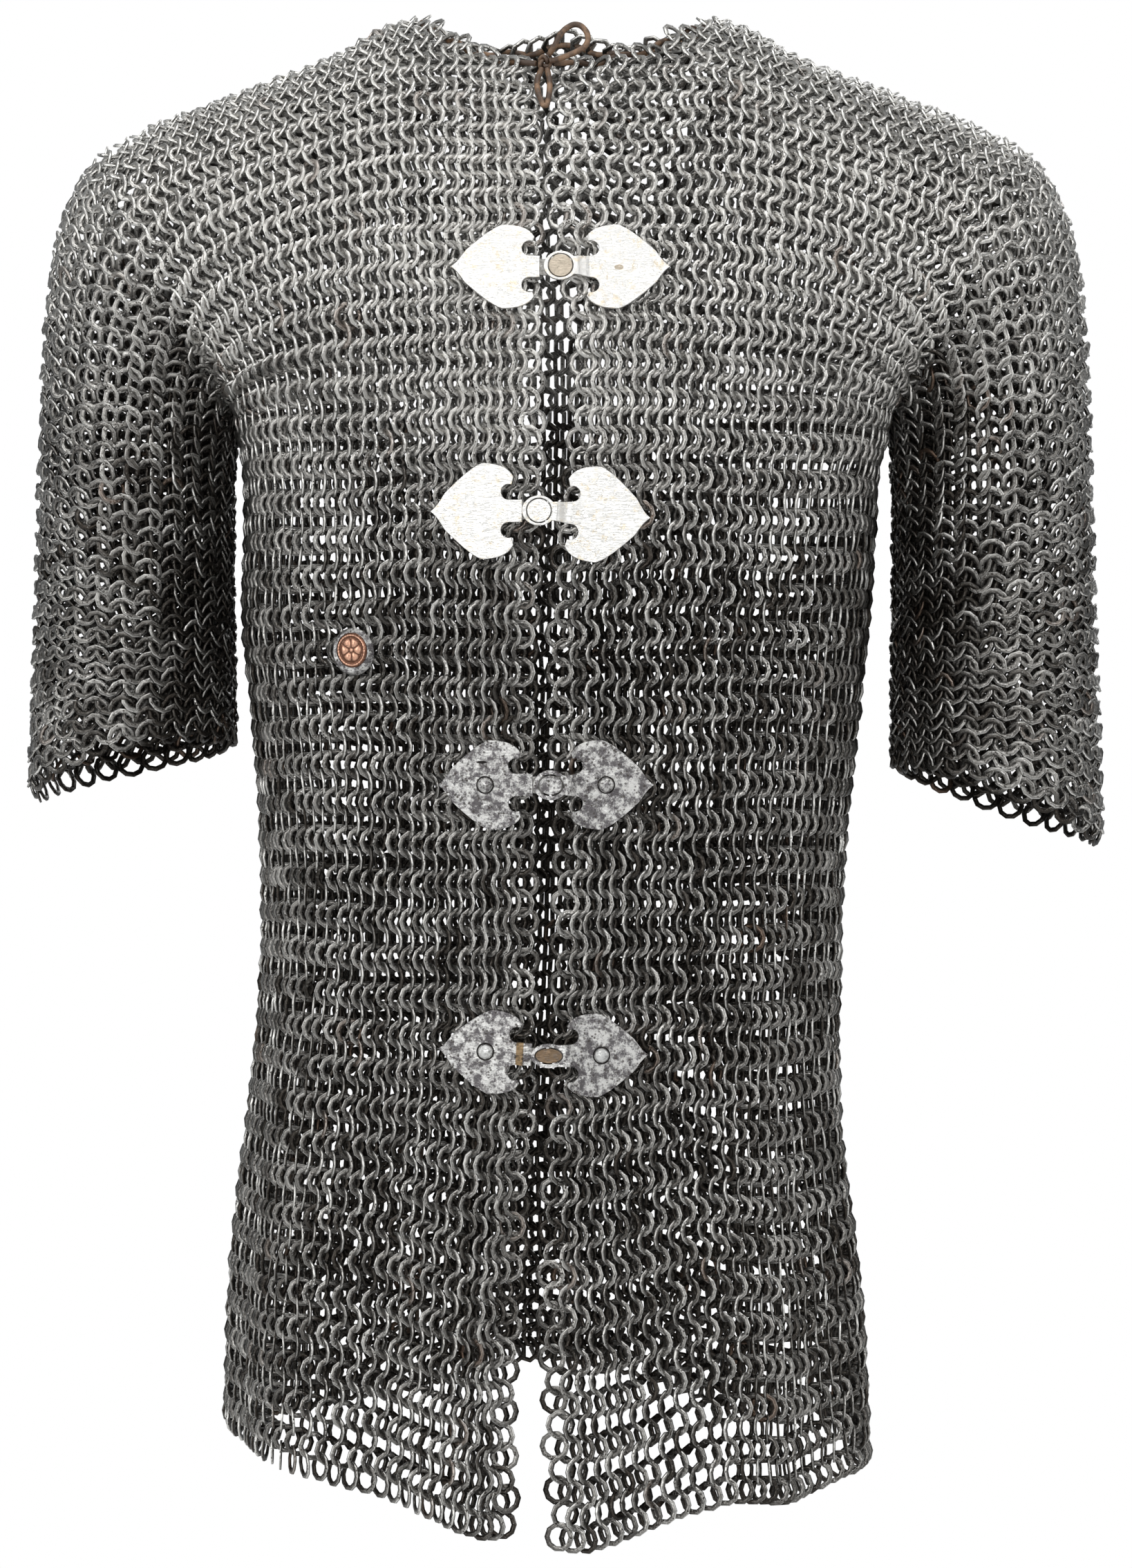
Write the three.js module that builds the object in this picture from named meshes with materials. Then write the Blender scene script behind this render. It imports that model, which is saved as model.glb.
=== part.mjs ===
// A short-sleeved mail shirt in its worn, hollow form: open down the front, with four leaf clasps,
// a small medallion, and a leather lace through the collar rings.
// Millimetres, +Z up, +X to the viewer's right, -Y to the viewer.
// The origin lies between the shoulders, at the height of the base of the neck.
import * as THREE from 'three';
import { mergeVertices } from 'three/addons/utils/BufferGeometryUtils.js';

// The mail leans in its rows, so its wall is as thick as the leaning rings.
const wallThickness = 6;
const seat = 0.3; // between a piece and what carries it, and between panels at a seam
const half = wallThickness / 2;
const seamDraw = 0.19; // each edge is drawn in by this, so that panels lie about 0.3 mm apart
// Into the fold under the arm the wall thins to this share, and its edges draw in by this many times as much.
const armpitFold = { share: 0.28, draw: 8, from: 14, to: 78 };

// A place on the mail is a side (+1 right, -1 left), a column s and a row v.
// Columns run from the middle of the front or back over the armhole and down the sleeve.
// Rows run from the front hem up over the shoulder and down to the back hem.
const neckColumn = 9;
const armholeColumn = 30;
const cuffColumn = { right: 60, left: 58 };
const ridgeRow = 27.5;
const backArmpitRow = 55;
const skirtRows = 56.5;
const openingColumn = -0.35;
const openingEase = 3; // from the edge of the opening in to column 0
const armpitDrop = 205;
const plainHemDrop = 745;
const neckRows = { front: 7.2, back: 4.8 };
const backNeckRise = 15;
const squareness = 2.25; // 2 is an ellipse
const arcSteps = 24;

// Level sections of the trunk, halfway through the wall.
const trunk = [
  { drop: 205, centre: -1, width: 169, front: 118, back: 112 },
  { drop: 232, centre: -2, width: 163, front: 120.5, back: 110 },
  { drop: 270, centre: -3, width: 161, front: 121.5, back: 107.5 },
  { drop: 311, centre: -5, width: 160, front: 118.5, back: 103.5 },
  { drop: 350, centre: -5, width: 156, front: 115.5, back: 100.5 },
  { drop: 396, centre: -5.5, width: 151.5, front: 112, back: 98 },
  { drop: 437, centre: -6.5, width: 148.5, front: 109.5, back: 97.5 },
  { drop: 478, centre: -7.5, width: 147.5, front: 107.5, back: 98.5 },
  { drop: 520, centre: -9, width: 148, front: 106, back: 101 },
  { drop: 561, centre: -11, width: 150, front: 106.3, back: 105 },
  { drop: 602, centre: -12, width: 154, front: 107.2, back: 109.5 },
  { drop: 643, centre: -11.3, width: 159, front: 108.5, back: 114 },
  { drop: 685, centre: -11, width: 162, front: 109.7, back: 117.5 },
  { drop: 726, centre: -10.5, width: 163.5, front: 111, back: 119 },
  { drop: 790, centre: -10, width: 165, front: 113, back: 120 },
];

// The two edges of the front opening.
const opening = [
  { drop: 26, left: -18, right: -6 },
  { drop: 97, left: -12.5, right: -8 },
  { drop: 168, left: -12.5, right: 2.4 },
  { drop: 223, left: -12.5, right: 2.4 },
  { drop: 278, left: -12.5, right: -4.5 },
  { drop: 337, left: -15, right: -8.3 },
  { drop: 396, left: -16, right: -7 },
  { drop: 435, left: -17, right: -3.8 },
  { drop: 494, left: -15, right: -5.2 },
  { drop: 553, left: -16, right: -8.3 },
  { drop: 592, left: -19.4, right: -10.4 },
  { drop: 631, left: -22, right: -12 },
  { drop: 690, left: -26, right: -10.4 },
  { drop: 760, left: -25, right: -8.3 },
];

// How low the hem hangs, column by column.
const hem = [
  { s: 0, frontLeft: 771, frontRight: 779, backLeft: 712, backRight: 712 },
  { s: 2, frontLeft: 775, frontRight: 782, backLeft: 713, backRight: 713 },
  { s: 6, frontLeft: 767, frontRight: 773, backLeft: 718, backRight: 719 },
  { s: 12, frontLeft: 753, frontRight: 757, backLeft: 729, backRight: 733 },
  { s: 18, frontLeft: 744, frontRight: 761, backLeft: 734, backRight: 742 },
  { s: 24, frontLeft: 736, frontRight: 750, backLeft: 732, backRight: 744 },
  { s: 30, frontLeft: 728, frontRight: 742, backLeft: 728, backRight: 742 },
];

// The crest of the shoulder and arm, by its length from the neck.
const crest = [
  { length: 0, x: 77, z: 3 },
  { length: 20, x: 96, z: -3.5 },
  { length: 42, x: 115, z: -14.5 },
  { length: 65, x: 136, z: -24 },
  { length: 110, x: 178, z: -40 },
  { length: 153, x: 218, z: -56 },
  { length: 187, x: 247, z: -74 },
  { length: 223, x: 263, z: -106 },
  { length: 267, x: 270, z: -150 },
  { length: 322, x: 273, z: -205 },
  { length: 392, x: 275, z: -275 },
  { length: 447, x: 277, z: -330 },
  { length: 542, x: 280, z: -425 },
];
const crestColumns = [
  { s: 9, length: 0 },
  { s: 16, length: 55 },
  { s: 23, length: 115 },
  { s: 30, length: 181 },
  { s: 34, length: 222 },
  { s: 38, length: 267 },
  { s: 60, length: 542 },
];

// The inner line of the sleeve, from the armpit to the cuff.
const innerArm = [
  { s: 30, x: 169, z: -205 },
  { s: 31, x: 173, z: -210 },
  { s: 33, x: 175, z: -223 },
  { s: 40, x: 176, z: -265 },
  { s: 60, x: 175, z: -385 },
];
const innerArmShift = -1;
const cuffRise = { right: 6, left: 12 }; // the cuff is higher in front
const cuffRiseFrom = 44;

// How far a column bows out over the shoulder, and the angle that it turns through down to the armpit.
const bow = [
  { s: 0, front: 118, back: 112, turn: 90 },
  { s: 10, front: 112, back: 107, turn: 100 },
  { s: 15, front: 107, back: 102, turn: 114 },
  { s: 20, front: 100, back: 96, turn: 132 },
  { s: 24, front: 93, back: 90, turn: 148 },
  { s: 27, front: 87, back: 85, turn: 163 },
  { s: 30, front: 80, back: 80, turn: 180 },
  { s: 34, front: 74, back: 74, turn: 180 },
  { s: 40, front: 69, back: 69, turn: 180 },
  { s: 50, front: 66, back: 66, turn: 180 },
  { s: 60, front: 64, back: 64, turn: 180 },
];

// Shallow upright folds that grow towards the hem; rise is out, in millimetres at the hem.
const skirtFolds = [
  { face: -1, side: 1, s: 7, spread: 3, rise: -4 },
  { face: -1, side: 1, s: 13.5, spread: 3, rise: 4 },
  { face: -1, side: 1, s: 20, spread: 2.6, rise: -5 },
  { face: -1, side: 1, s: 26, spread: 2.4, rise: 3.5 },
  { face: -1, side: -1, s: 5, spread: 2.4, rise: 3 },
  { face: -1, side: -1, s: 11, spread: 3, rise: -5 },
  { face: -1, side: -1, s: 18, spread: 3, rise: 4.5 },
  { face: -1, side: -1, s: 24.5, spread: 2.4, rise: -4 },
  { face: 1, side: 1, s: 8, spread: 3, rise: 5 },
  { face: 1, side: 1, s: 15.5, spread: 3, rise: -5 },
  { face: 1, side: 1, s: 22, spread: 2.6, rise: 4 },
  { face: 1, side: -1, s: 6.5, spread: 3, rise: -4 },
  { face: 1, side: -1, s: 14, spread: 3, rise: 5 },
  { face: 1, side: -1, s: 21, spread: 2.6, rise: -4.5 },
];
const foldStart = 0.3; // share of the way from the armpit down to the hem

// The soft trough where the sleeve meets the chest, in front and behind.
const armpitCrease = { s: 29, spread: 2, depth: 7, rows: 13 };

function smooth(from, to, at) {
  const share = Math.min(1, Math.max(0, (at - from) / (to - from)));
  return share * share * (3 - 2 * share);
}

function bump(middle, spread, at) {
  return Math.exp(-(((at - middle) / spread) ** 2));
}

// A smooth curve through one column of a table.
function read(table, key, column, at) {
  const last = table.length - 1;
  const place = Math.min(table[last][key], Math.max(table[0][key], at));
  let k = 0;
  while (k < last - 1 && table[k + 1][key] < place) k += 1;
  const slope = (i) => {
    const a = table[Math.max(0, i - 1)];
    const b = table[Math.min(last, i + 1)];
    return (b[column] - a[column]) / (b[key] - a[key]);
  };
  const span = table[k + 1][key] - table[k][key];
  const t = (place - table[k][key]) / span;
  const start = table[k][column];
  const end = table[k + 1][column];
  return (2 * t ** 3 - 3 * t ** 2 + 1) * start + (t ** 3 - 2 * t ** 2 + t) * span * slope(k)
    + (3 * t ** 2 - 2 * t ** 3) * end + (t ** 3 - t ** 2) * span * slope(k + 1);
}

// The angle at a share of the length of a curve that is given by its points.
function angleAtShare(pointAt, turn, share) {
  const lengths = [0];
  let before = pointAt(0);
  for (let k = 1; k <= arcSteps; k += 1) {
    const here = pointAt((turn * k) / arcSteps);
    lengths.push(lengths[k - 1] + Math.hypot(...here.map((value, i) => value - before[i])));
    before = here;
  }
  const wanted = share * lengths[arcSteps];
  let k = 0;
  while (k < arcSteps - 1 && lengths[k + 1] < wanted) k += 1;
  return (turn * (k + (wanted - lengths[k]) / (lengths[k + 1] - lengths[k]))) / arcSteps;
}

// A quarter of a level section: across from its middle, and out from its centre.
function quarterPoint(width, depth, share) {
  const pointAt = (angle) => {
    const across = Math.abs(Math.sin(angle)) / width;
    const out = Math.abs(Math.cos(angle)) / depth;
    const radius = (across ** squareness + out ** squareness) ** (-1 / squareness);
    return [radius * Math.sin(angle), radius * Math.cos(angle)];
  };
  return pointAt(Math.sign(share) * angleAtShare(pointAt, Math.PI / 2, Math.abs(share)));
}

function sideName(side) {
  return side > 0 ? 'right' : 'left';
}

function trunkPoint(side, face, s, drop) {
  const centre = read(trunk, 'drop', 'centre', drop);
  const depth = read(trunk, 'drop', face < 0 ? 'front' : 'back', drop);
  const [across, out] = quarterPoint(read(trunk, 'drop', 'width', drop), depth, s / armholeColumn);
  return { x: centre + side * across, y: face * out, centre };
}

// How far the opening shifts the columns near it.
function openingShift(side, s, drop, centre) {
  const edge = read(opening, 'drop', sideName(side), drop) + side * openingEase;
  const weight = Math.max(0, 1 - Math.max(0, s) / 12) ** 2;
  return (edge - centre) * weight;
}

function skirtPoint(side, face, s, share) {
  const level = armpitDrop + (plainHemDrop - armpitDrop) * share;
  const low = read(hem, 's', (face < 0 ? 'front' : 'back') + (side > 0 ? 'Right' : 'Left'), s);
  const drop = level + (low - plainHemDrop) * share ** 3;
  const at = trunkPoint(side, face, s, level);
  let rise = 0;
  for (const fold of skirtFolds) {
    if (fold.side === side && fold.face === face) rise += fold.rise * bump(fold.s, fold.spread, s);
  }
  const grown = 1 + (rise * smooth(foldStart, 1, share)) / Math.hypot(at.x - at.centre, at.y);
  const shift = face < 0 ? openingShift(side, s, drop, at.centre) : 0;
  return new THREE.Vector3(at.centre + (at.x - at.centre) * grown + shift, at.y * grown, -drop);
}

function crestPoint(side, face, s) {
  if (s < neckColumn) {
    const share = s / neckColumn;
    const rise = face > 0 ? backNeckRise * (1 - share) ** 2 : 0;
    return { x: side * crest[0].x * share, z: crest[0].z + rise };
  }
  const length = read(crestColumns, 's', 'length', s);
  return { x: side * read(crest, 'length', 'x', length), z: read(crest, 'length', 'z', length) };
}

// A column of the chest or shoulder, or a loop of the sleeve. share is 0 on the crest, 1 at the armpit.
function archPoint(side, face, s, share) {
  const top = crestPoint(side, face, s);
  const sleeve = s > armholeColumn;
  const foot = sleeve
    ? { x: side * read(innerArm, 's', 'x', s) + innerArmShift, y: 0, z: read(innerArm, 's', 'z', s) }
    : { ...trunkPoint(side, face, s, armpitDrop), z: -armpitDrop };
  const depth = read(bow, 's', face < 0 ? 'front' : 'back', Math.max(0, s));
  const turn = THREE.MathUtils.degToRad(read(bow, 's', 'turn', Math.max(0, s)));
  const fall = 1 - Math.cos(turn);
  const slack = Math.abs(foot.y) - depth * Math.sin(turn);
  const pointAt = (angle) => {
    const down = (1 - Math.cos(angle)) / fall;
    const out = depth * Math.sin(angle) + slack * down * down;
    return [top.x + (foot.x - top.x) * down, face * out, top.z + (foot.z - top.z) * down];
  };
  const [x, y, z] = pointAt(angleAtShare(pointAt, turn, share));
  const down = (top.z - z) / (top.z - foot.z);
  const shift = face < 0 && s < neckColumn + 3 ? openingShift(side, s, -z, trunk[0].centre * down) : 0;
  const creased = armpitCrease.depth * bump(armpitCrease.s, armpitCrease.spread, s)
    * (1 - smooth(0, 1, ((1 - share) * ridgeRow) / armpitCrease.rows));
  const cuff = sleeve && face < 0
    ? cuffRise[sideName(side)] * Math.max(0, (s - cuffRiseFrom) / (cuffColumn[sideName(side)] - cuffRiseFrom)) ** 2
      * Math.abs(y / depth)
    : 0;
  return new THREE.Vector3(x + shift, face * Math.max(0, Math.abs(y) - creased * Math.min(1, Math.abs(y) / 20)), z + cuff);
}

function rawPoint(side, s, v) {
  if (v < 0) return skirtPoint(side, -1, s, -v / skirtRows);
  if (v > backArmpitRow) return skirtPoint(side, 1, s, (v - backArmpitRow) / skirtRows);
  return archPoint(side, v < ridgeRow ? -1 : 1, s, Math.abs(v - ridgeRow) / ridgeRow);
}

// The mail halfway through its wall, with the turn at the armpit level softened on the chest and back.
function mailPoint(side, s, v) {
  const soft = 3 * smooth(2, 8, s) * (1 - smooth(24, armholeColumn, s));
  const fromTurn = Math.min(Math.abs(v), Math.abs(v - backArmpitRow));
  if (soft < 0.01 || fromTurn >= soft) return rawPoint(side, s, v);
  const mixed = rawPoint(side, s, v).multiplyScalar(0.5);
  mixed.add(rawPoint(side, s, v - soft).multiplyScalar(0.25));
  return mixed.add(rawPoint(side, s, v + soft).multiplyScalar(0.25));
}

function neckRow(s) {
  const round = Math.sqrt(Math.max(0, 1 - (Math.max(0, s) / neckColumn) ** 2));
  return { front: ridgeRow - neckRows.front * round, back: ridgeRow + neckRows.back * round };
}

// Stations of the nets that the walls are built on.
const trunkColumns = [1.5, 4, 6.5, 9, 12, 15, 18, 21, 24, 26.5, 28.5, 30];
const sleeveColumns = [30, 31, 32.5, 35, 39, 43, 47, 51, 55];
const skirtStations = [56.4, 54, 50, 45, 40, 35, 30, 25, 20, 15.5, 11.5, 8, 5, 2.5, 1];
const archStations = [0, 1.5, 4, 7, 10, 13, 16];
const topShares = [1 / 3, 2 / 3, 1];

function columnRows(s, face) {
  const top = s < neckColumn ? neckRow(s)[face < 0 ? 'front' : 'back'] : ridgeRow;
  const mirrored = face < 0 ? (row) => row : (row) => backArmpitRow - row;
  const last = archStations[archStations.length - 1];
  const upper = topShares.map((share) => last + (mirrored(top) - last) * share);
  const rows = [...skirtStations.map((row) => -row), ...archStations, ...upper].map(mirrored);
  return face < 0 ? rows : rows.reverse();
}

function loopRows() {
  const front = [...archStations, ...topShares.map((share) => 16 + (ridgeRow - 16) * share)];
  return [...front, ...front.slice(1, -1).reverse().map((row) => backArmpitRow - row)];
}

// A net is a grid of points. Its first step goes towards +X, so that its normals point out.
function makeNets() {
  const nets = {};
  const edge = [openingColumn, ...trunkColumns];
  const frontColumn = (side) => (s) => columnRows(s, -1).map((v) => mailPoint(side, s, v));
  const backColumn = (side) => (s) => columnRows(s, 1).map((v) => mailPoint(side, s, v));
  const sleeveLoop = (side) => (s) => loopRows().map((v) => mailPoint(side, s, v));
  nets.front_right = { grid: edge.map(frontColumn(1)) };
  nets.front_left = { grid: [...edge].reverse().map(frontColumn(-1)) };
  nets.back = {
    grid: [...[...trunkColumns].reverse().map(backColumn(-1)), backColumn(1)(0), ...trunkColumns.map(backColumn(1))],
  };
  nets.sleeve_right = { grid: [...sleeveColumns, cuffColumn.right].map(sleeveLoop(1)), round: true };
  nets.sleeve_left = { grid: [...sleeveColumns, cuffColumn.left].reverse().map(sleeveLoop(-1)), round: true };
  return nets;
}

// The four corners of each square of a net, by grid place.
function netSquares({ grid, round }) {
  const rows = grid[0].length;
  const squares = [];
  for (let i = 0; i + 1 < grid.length; i += 1) {
    for (let j = 0; j < (round ? rows : rows - 1); j += 1) {
      const up = (j + 1) % rows;
      squares.push([[i, j], [i + 1, j], [i + 1, up], [i, up]]);
    }
  }
  return squares;
}

// Normals are shared by the panels that meet at a seam, so their edges are mitred.
function addNormals(nets) {
  const sums = new Map();
  const keyOf = (point) => point.toArray().map((value) => value.toFixed(1)).join();
  for (const net of Object.values(nets)) {
    for (const corners of netSquares(net)) {
      const [a, b, c, d] = corners.map(([i, j]) => net.grid[i][j]);
      const normal = new THREE.Vector3().crossVectors(c.clone().sub(a), d.clone().sub(b)).normalize();
      for (const point of [a, b, c, d]) {
        const key = keyOf(point);
        if (!sums.has(key)) sums.set(key, new THREE.Vector3());
        sums.get(key).add(normal);
      }
    }
  }
  for (const net of Object.values(nets)) {
    net.normals = net.grid.map((line) => line.map((point) => sums.get(keyOf(point)).clone().normalize()));
  }
}

// 0 in the fold under the arm, 1 well away from it.
function awayFromArmpit(point) {
  const side = point.x > 0 ? 1 : -1;
  const armpit = new THREE.Vector3(side * innerArm[0].x + innerArmShift, 0, innerArm[0].z);
  return smooth(armpitFold.from, armpitFold.to, point.distanceTo(armpit));
}

function halfWall(point) {
  return half * (armpitFold.share + (1 - armpitFold.share) * awayFromArmpit(point));
}

// Draws every edge in by its share of the seam gap.
function drawIn({ grid, round }) {
  const last = grid.length - 1;
  const rows = grid[0].length;
  const towards = (point, inner) => {
    const draw = seamDraw * (1 + (armpitFold.draw - 1) * (1 - awayFromArmpit(point)));
    return point.clone().add(inner.clone().sub(point).setLength(draw));
  };
  const drawn = grid.map((line) => line.map((point) => point.clone()));
  for (let j = 0; j < rows; j += 1) {
    drawn[0][j] = towards(grid[0][j], grid[1][j]);
    drawn[last][j] = towards(grid[last][j], grid[last - 1][j]);
  }
  if (round) return drawn;
  for (let i = 0; i <= last; i += 1) {
    drawn[i][0] = towards(drawn[i][0], grid[i][1]);
    drawn[i][rows - 1] = towards(drawn[i][rows - 1], grid[i][rows - 2]);
  }
  return drawn;
}

function wallGeometry(net) {
  const grid = drawIn(net);
  const rows = grid[0].length;
  const count = grid.length * rows;
  const positions = [];
  for (const way of [1, -1]) {
    grid.forEach((line, i) => line.forEach((point, j) => {
      const moved = point.clone().addScaledVector(net.normals[i][j], way * halfWall(net.grid[i][j]));
      positions.push(...moved.toArray());
    }));
  }
  const place = ([i, j]) => i * rows + j;
  const faces = [];
  const square = (a, b, c, d) => faces.push(a, b, c, a, c, d);
  for (const corners of netSquares(net)) {
    const [a, b, c, d] = corners.map(place);
    square(a, b, c, d);
    square(a + count, d + count, c + count, b + count);
  }
  const last = grid.length - 1;
  const rim = (a, b) => square(place(b), place(a), place(a) + count, place(b) + count);
  for (let j = 0; j < (net.round ? rows : rows - 1); j += 1) {
    const up = (j + 1) % rows;
    rim([0, up], [0, j]);
    rim([last, j], [last, up]);
  }
  if (!net.round) {
    for (let i = 0; i < last; i += 1) {
      rim([i, 0], [i + 1, 0]);
      rim([i + 1, rows - 1], [i, rows - 1]);
    }
  }
  const geometry = new THREE.BufferGeometry();
  geometry.setAttribute('position', new THREE.Float32BufferAttribute(positions, 3));
  geometry.setIndex(faces);
  return geometry;
}

// Finds the front of the mail, halfway through its wall, behind a place in the front view.
function frontAt(x, z) {
  const side = x > -8 ? 1 : -1;
  let s = Math.abs(x + 8) / 7;
  let v = z > -armpitDrop ? (z + armpitDrop) / 9 : (z + armpitDrop) / 9.6;
  let here = mailPoint(side, s, v);
  for (let step = 0; step < 20; step += 1) {
    s += (side * (x - here.x)) / 8;
    v += (z - here.z) / 10.5;
    here = mailPoint(side, s, v);
  }
  return here;
}

// Clasps: tip to tip, leaf height, and how far the tips of the two leaves are raised.
const clasps = [
  { x: -2.4, z: -138, length: 110, height: 43.6, eye: 16, riveted: false, tiltRight: 0, tiltLeft: 0 },
  { x: -12.3, z: -260, length: 109.5, height: 47.9, eye: 16, riveted: false, tiltRight: -3.5, tiltLeft: 0 },
  { x: -9.7, z: -396, length: 107.6, height: 45, eye: 16, riveted: true, tiltRight: 0, tiltLeft: 0 },
  { x: -11, z: -532, length: 105, height: 42, eye: 19, riveted: true, tiltRight: 0, tiltLeft: 3.5 },
];
const plate = 1.8;
const neckBar = 10.4;
const eyeHeight = 16;
const eyeHole = 6.4;
const stud = { radius: 5.7, height: 3.6, dome: 1.2 };
const notch = { radius: 4.2, from: -90, to: 160 };
const leafLength = 43;
const rivet = { radius: 3.75, height: 2, along: 0.44 };
const tongueReach = 6.5;
const curveSteps = 5;

const polishedIron = new THREE.MeshStandardMaterial({ color: 0xd9d6cf, roughness: 0.3, metalness: 1 });
const pittedIron = new THREE.MeshStandardMaterial({ color: 0x8e8a82, roughness: 0.5, metalness: 1 });
const mailIron = new THREE.MeshStandardMaterial({ color: 0x9a968e, roughness: 0.45, metalness: 1 });
const copper = new THREE.MeshStandardMaterial({ color: 0xb07a55, roughness: 0.4, metalness: 1 });
const leather = new THREE.MeshStandardMaterial({ color: 0x6b4327, roughness: 0.7, metalness: 0 });

// One leaf, tip outward along +x. The end that points inward is a tongue or an eye.
function leafShape(clasp, isEye) {
  const tip = clasp.length / 2;
  const base = tip - leafLength;
  const top = clasp.height / 2;
  const neck = neckBar / 2;
  const middle = { x: base + 4.6, y: neck + notch.radius };
  const shape = new THREE.Shape();
  const from = THREE.MathUtils.degToRad(notch.from);
  const to = THREE.MathUtils.degToRad(notch.to);
  const cusp = { x: middle.x + notch.radius * Math.cos(to), y: middle.y + notch.radius * Math.sin(to) };
  const eyeLong = clasp.eye / 2;
  const eyeTall = eyeHeight / 2;
  const meet = Math.asin(neck / eyeTall);
  if (isEye) {
    shape.moveTo(eyeLong * Math.cos(meet), neck);
  } else {
    shape.moveTo(-tongueReach + neck, neck);
  }
  shape.lineTo(middle.x, neck);
  shape.absarc(middle.x, middle.y, notch.radius, from, to, false);
  shape.bezierCurveTo(base + 2.5, top * 0.9, base + 9, top, base + 17, top);
  shape.bezierCurveTo(base + 22, top * 0.93, base + 29, top * 0.66, base + 35.5, top * 0.39);
  shape.bezierCurveTo(base + 38, top * 0.24, base + 39.5, top * 0.1, tip, 0);
  shape.bezierCurveTo(base + 39.5, -top * 0.1, base + 38, -top * 0.24, base + 35.5, -top * 0.39);
  shape.bezierCurveTo(base + 29, -top * 0.66, base + 22, -top * 0.93, base + 17, -top);
  shape.bezierCurveTo(base + 9, -top, base + 2.5, -top * 0.9, cusp.x, -cusp.y);
  shape.absarc(middle.x, -middle.y, notch.radius, -to, -from, false);
  if (isEye) {
    shape.lineTo(eyeLong * Math.cos(meet), -neck);
    shape.absellipse(0, 0, eyeLong, eyeTall, -meet, -2 * Math.PI + meet, true);
    const hole = new THREE.Path();
    hole.absellipse(0, 0, eyeHole + (clasp.eye - eyeHeight) / 2, eyeHole, 0, 2 * Math.PI, false);
    shape.holes.push(hole);
  } else {
    shape.lineTo(-tongueReach + neck, -neck);
    shape.absarc(-tongueReach + neck, 0, neck, -Math.PI / 2, -1.5 * Math.PI, true);
  }
  return shape;
}

// The plane that a leaf lies in: x towards its tip, z out from the mail.
function leafFrame(clasp, side, tilt) {
  const middle = frontAt(clasp.x, clasp.z);
  const far = frontAt(clasp.x + side * 48, clasp.z);
  const near = frontAt(clasp.x + side * 12, clasp.z);
  const above = frontAt(clasp.x + side * 30, clasp.z + 14);
  const below = frontAt(clasp.x + side * 30, clasp.z - 14);
  const along = far.clone().sub(near).normalize();
  const out = new THREE.Vector3().crossVectors(along, above.clone().sub(below)).multiplyScalar(side).normalize();
  if (out.y > 0) out.negate();
  const across = new THREE.Vector3().crossVectors(out, along).normalize();
  const frame = new THREE.Matrix4().makeBasis(along, across, out);
  frame.multiply(new THREE.Matrix4().makeRotationZ(side * THREE.MathUtils.degToRad(tilt)));
  frame.setPosition(middle.x, middle.y, middle.z);
  return frame;
}

// How far a flat piece has to stand off so that it clears the mail everywhere.
function standOff(frame, geometry) {
  const inverse = frame.clone().invert();
  const points = geometry.getAttribute('position');
  let highest = -Infinity;
  for (let k = 0; k < points.count; k += 1) {
    const at = new THREE.Vector3().fromBufferAttribute(points, k).setZ(0).applyMatrix4(frame);
    const under = frontAt(at.x, at.z).applyMatrix4(inverse);
    highest = Math.max(highest, under.z);
  }
  return highest + half + seat;
}

function merged(geometry) {
  geometry.deleteAttribute('normal');
  geometry.deleteAttribute('uv');
  const welded = mergeVertices(geometry, 1e-4);
  welded.computeVertexNormals();
  return welded;
}

function meshOf(name, geometry, material) {
  const mesh = new THREE.Mesh(geometry, material);
  mesh.name = name;
  return mesh;
}

function placed(mesh, frame) {
  mesh.applyMatrix4(frame);
  return mesh;
}

function lathe(profile, sides) {
  const points = profile.map(([radius, height]) => new THREE.Vector2(radius, height));
  const geometry = new THREE.LatheGeometry(points, sides);
  geometry.rotateX(Math.PI / 2);
  return merged(geometry);
}

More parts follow.
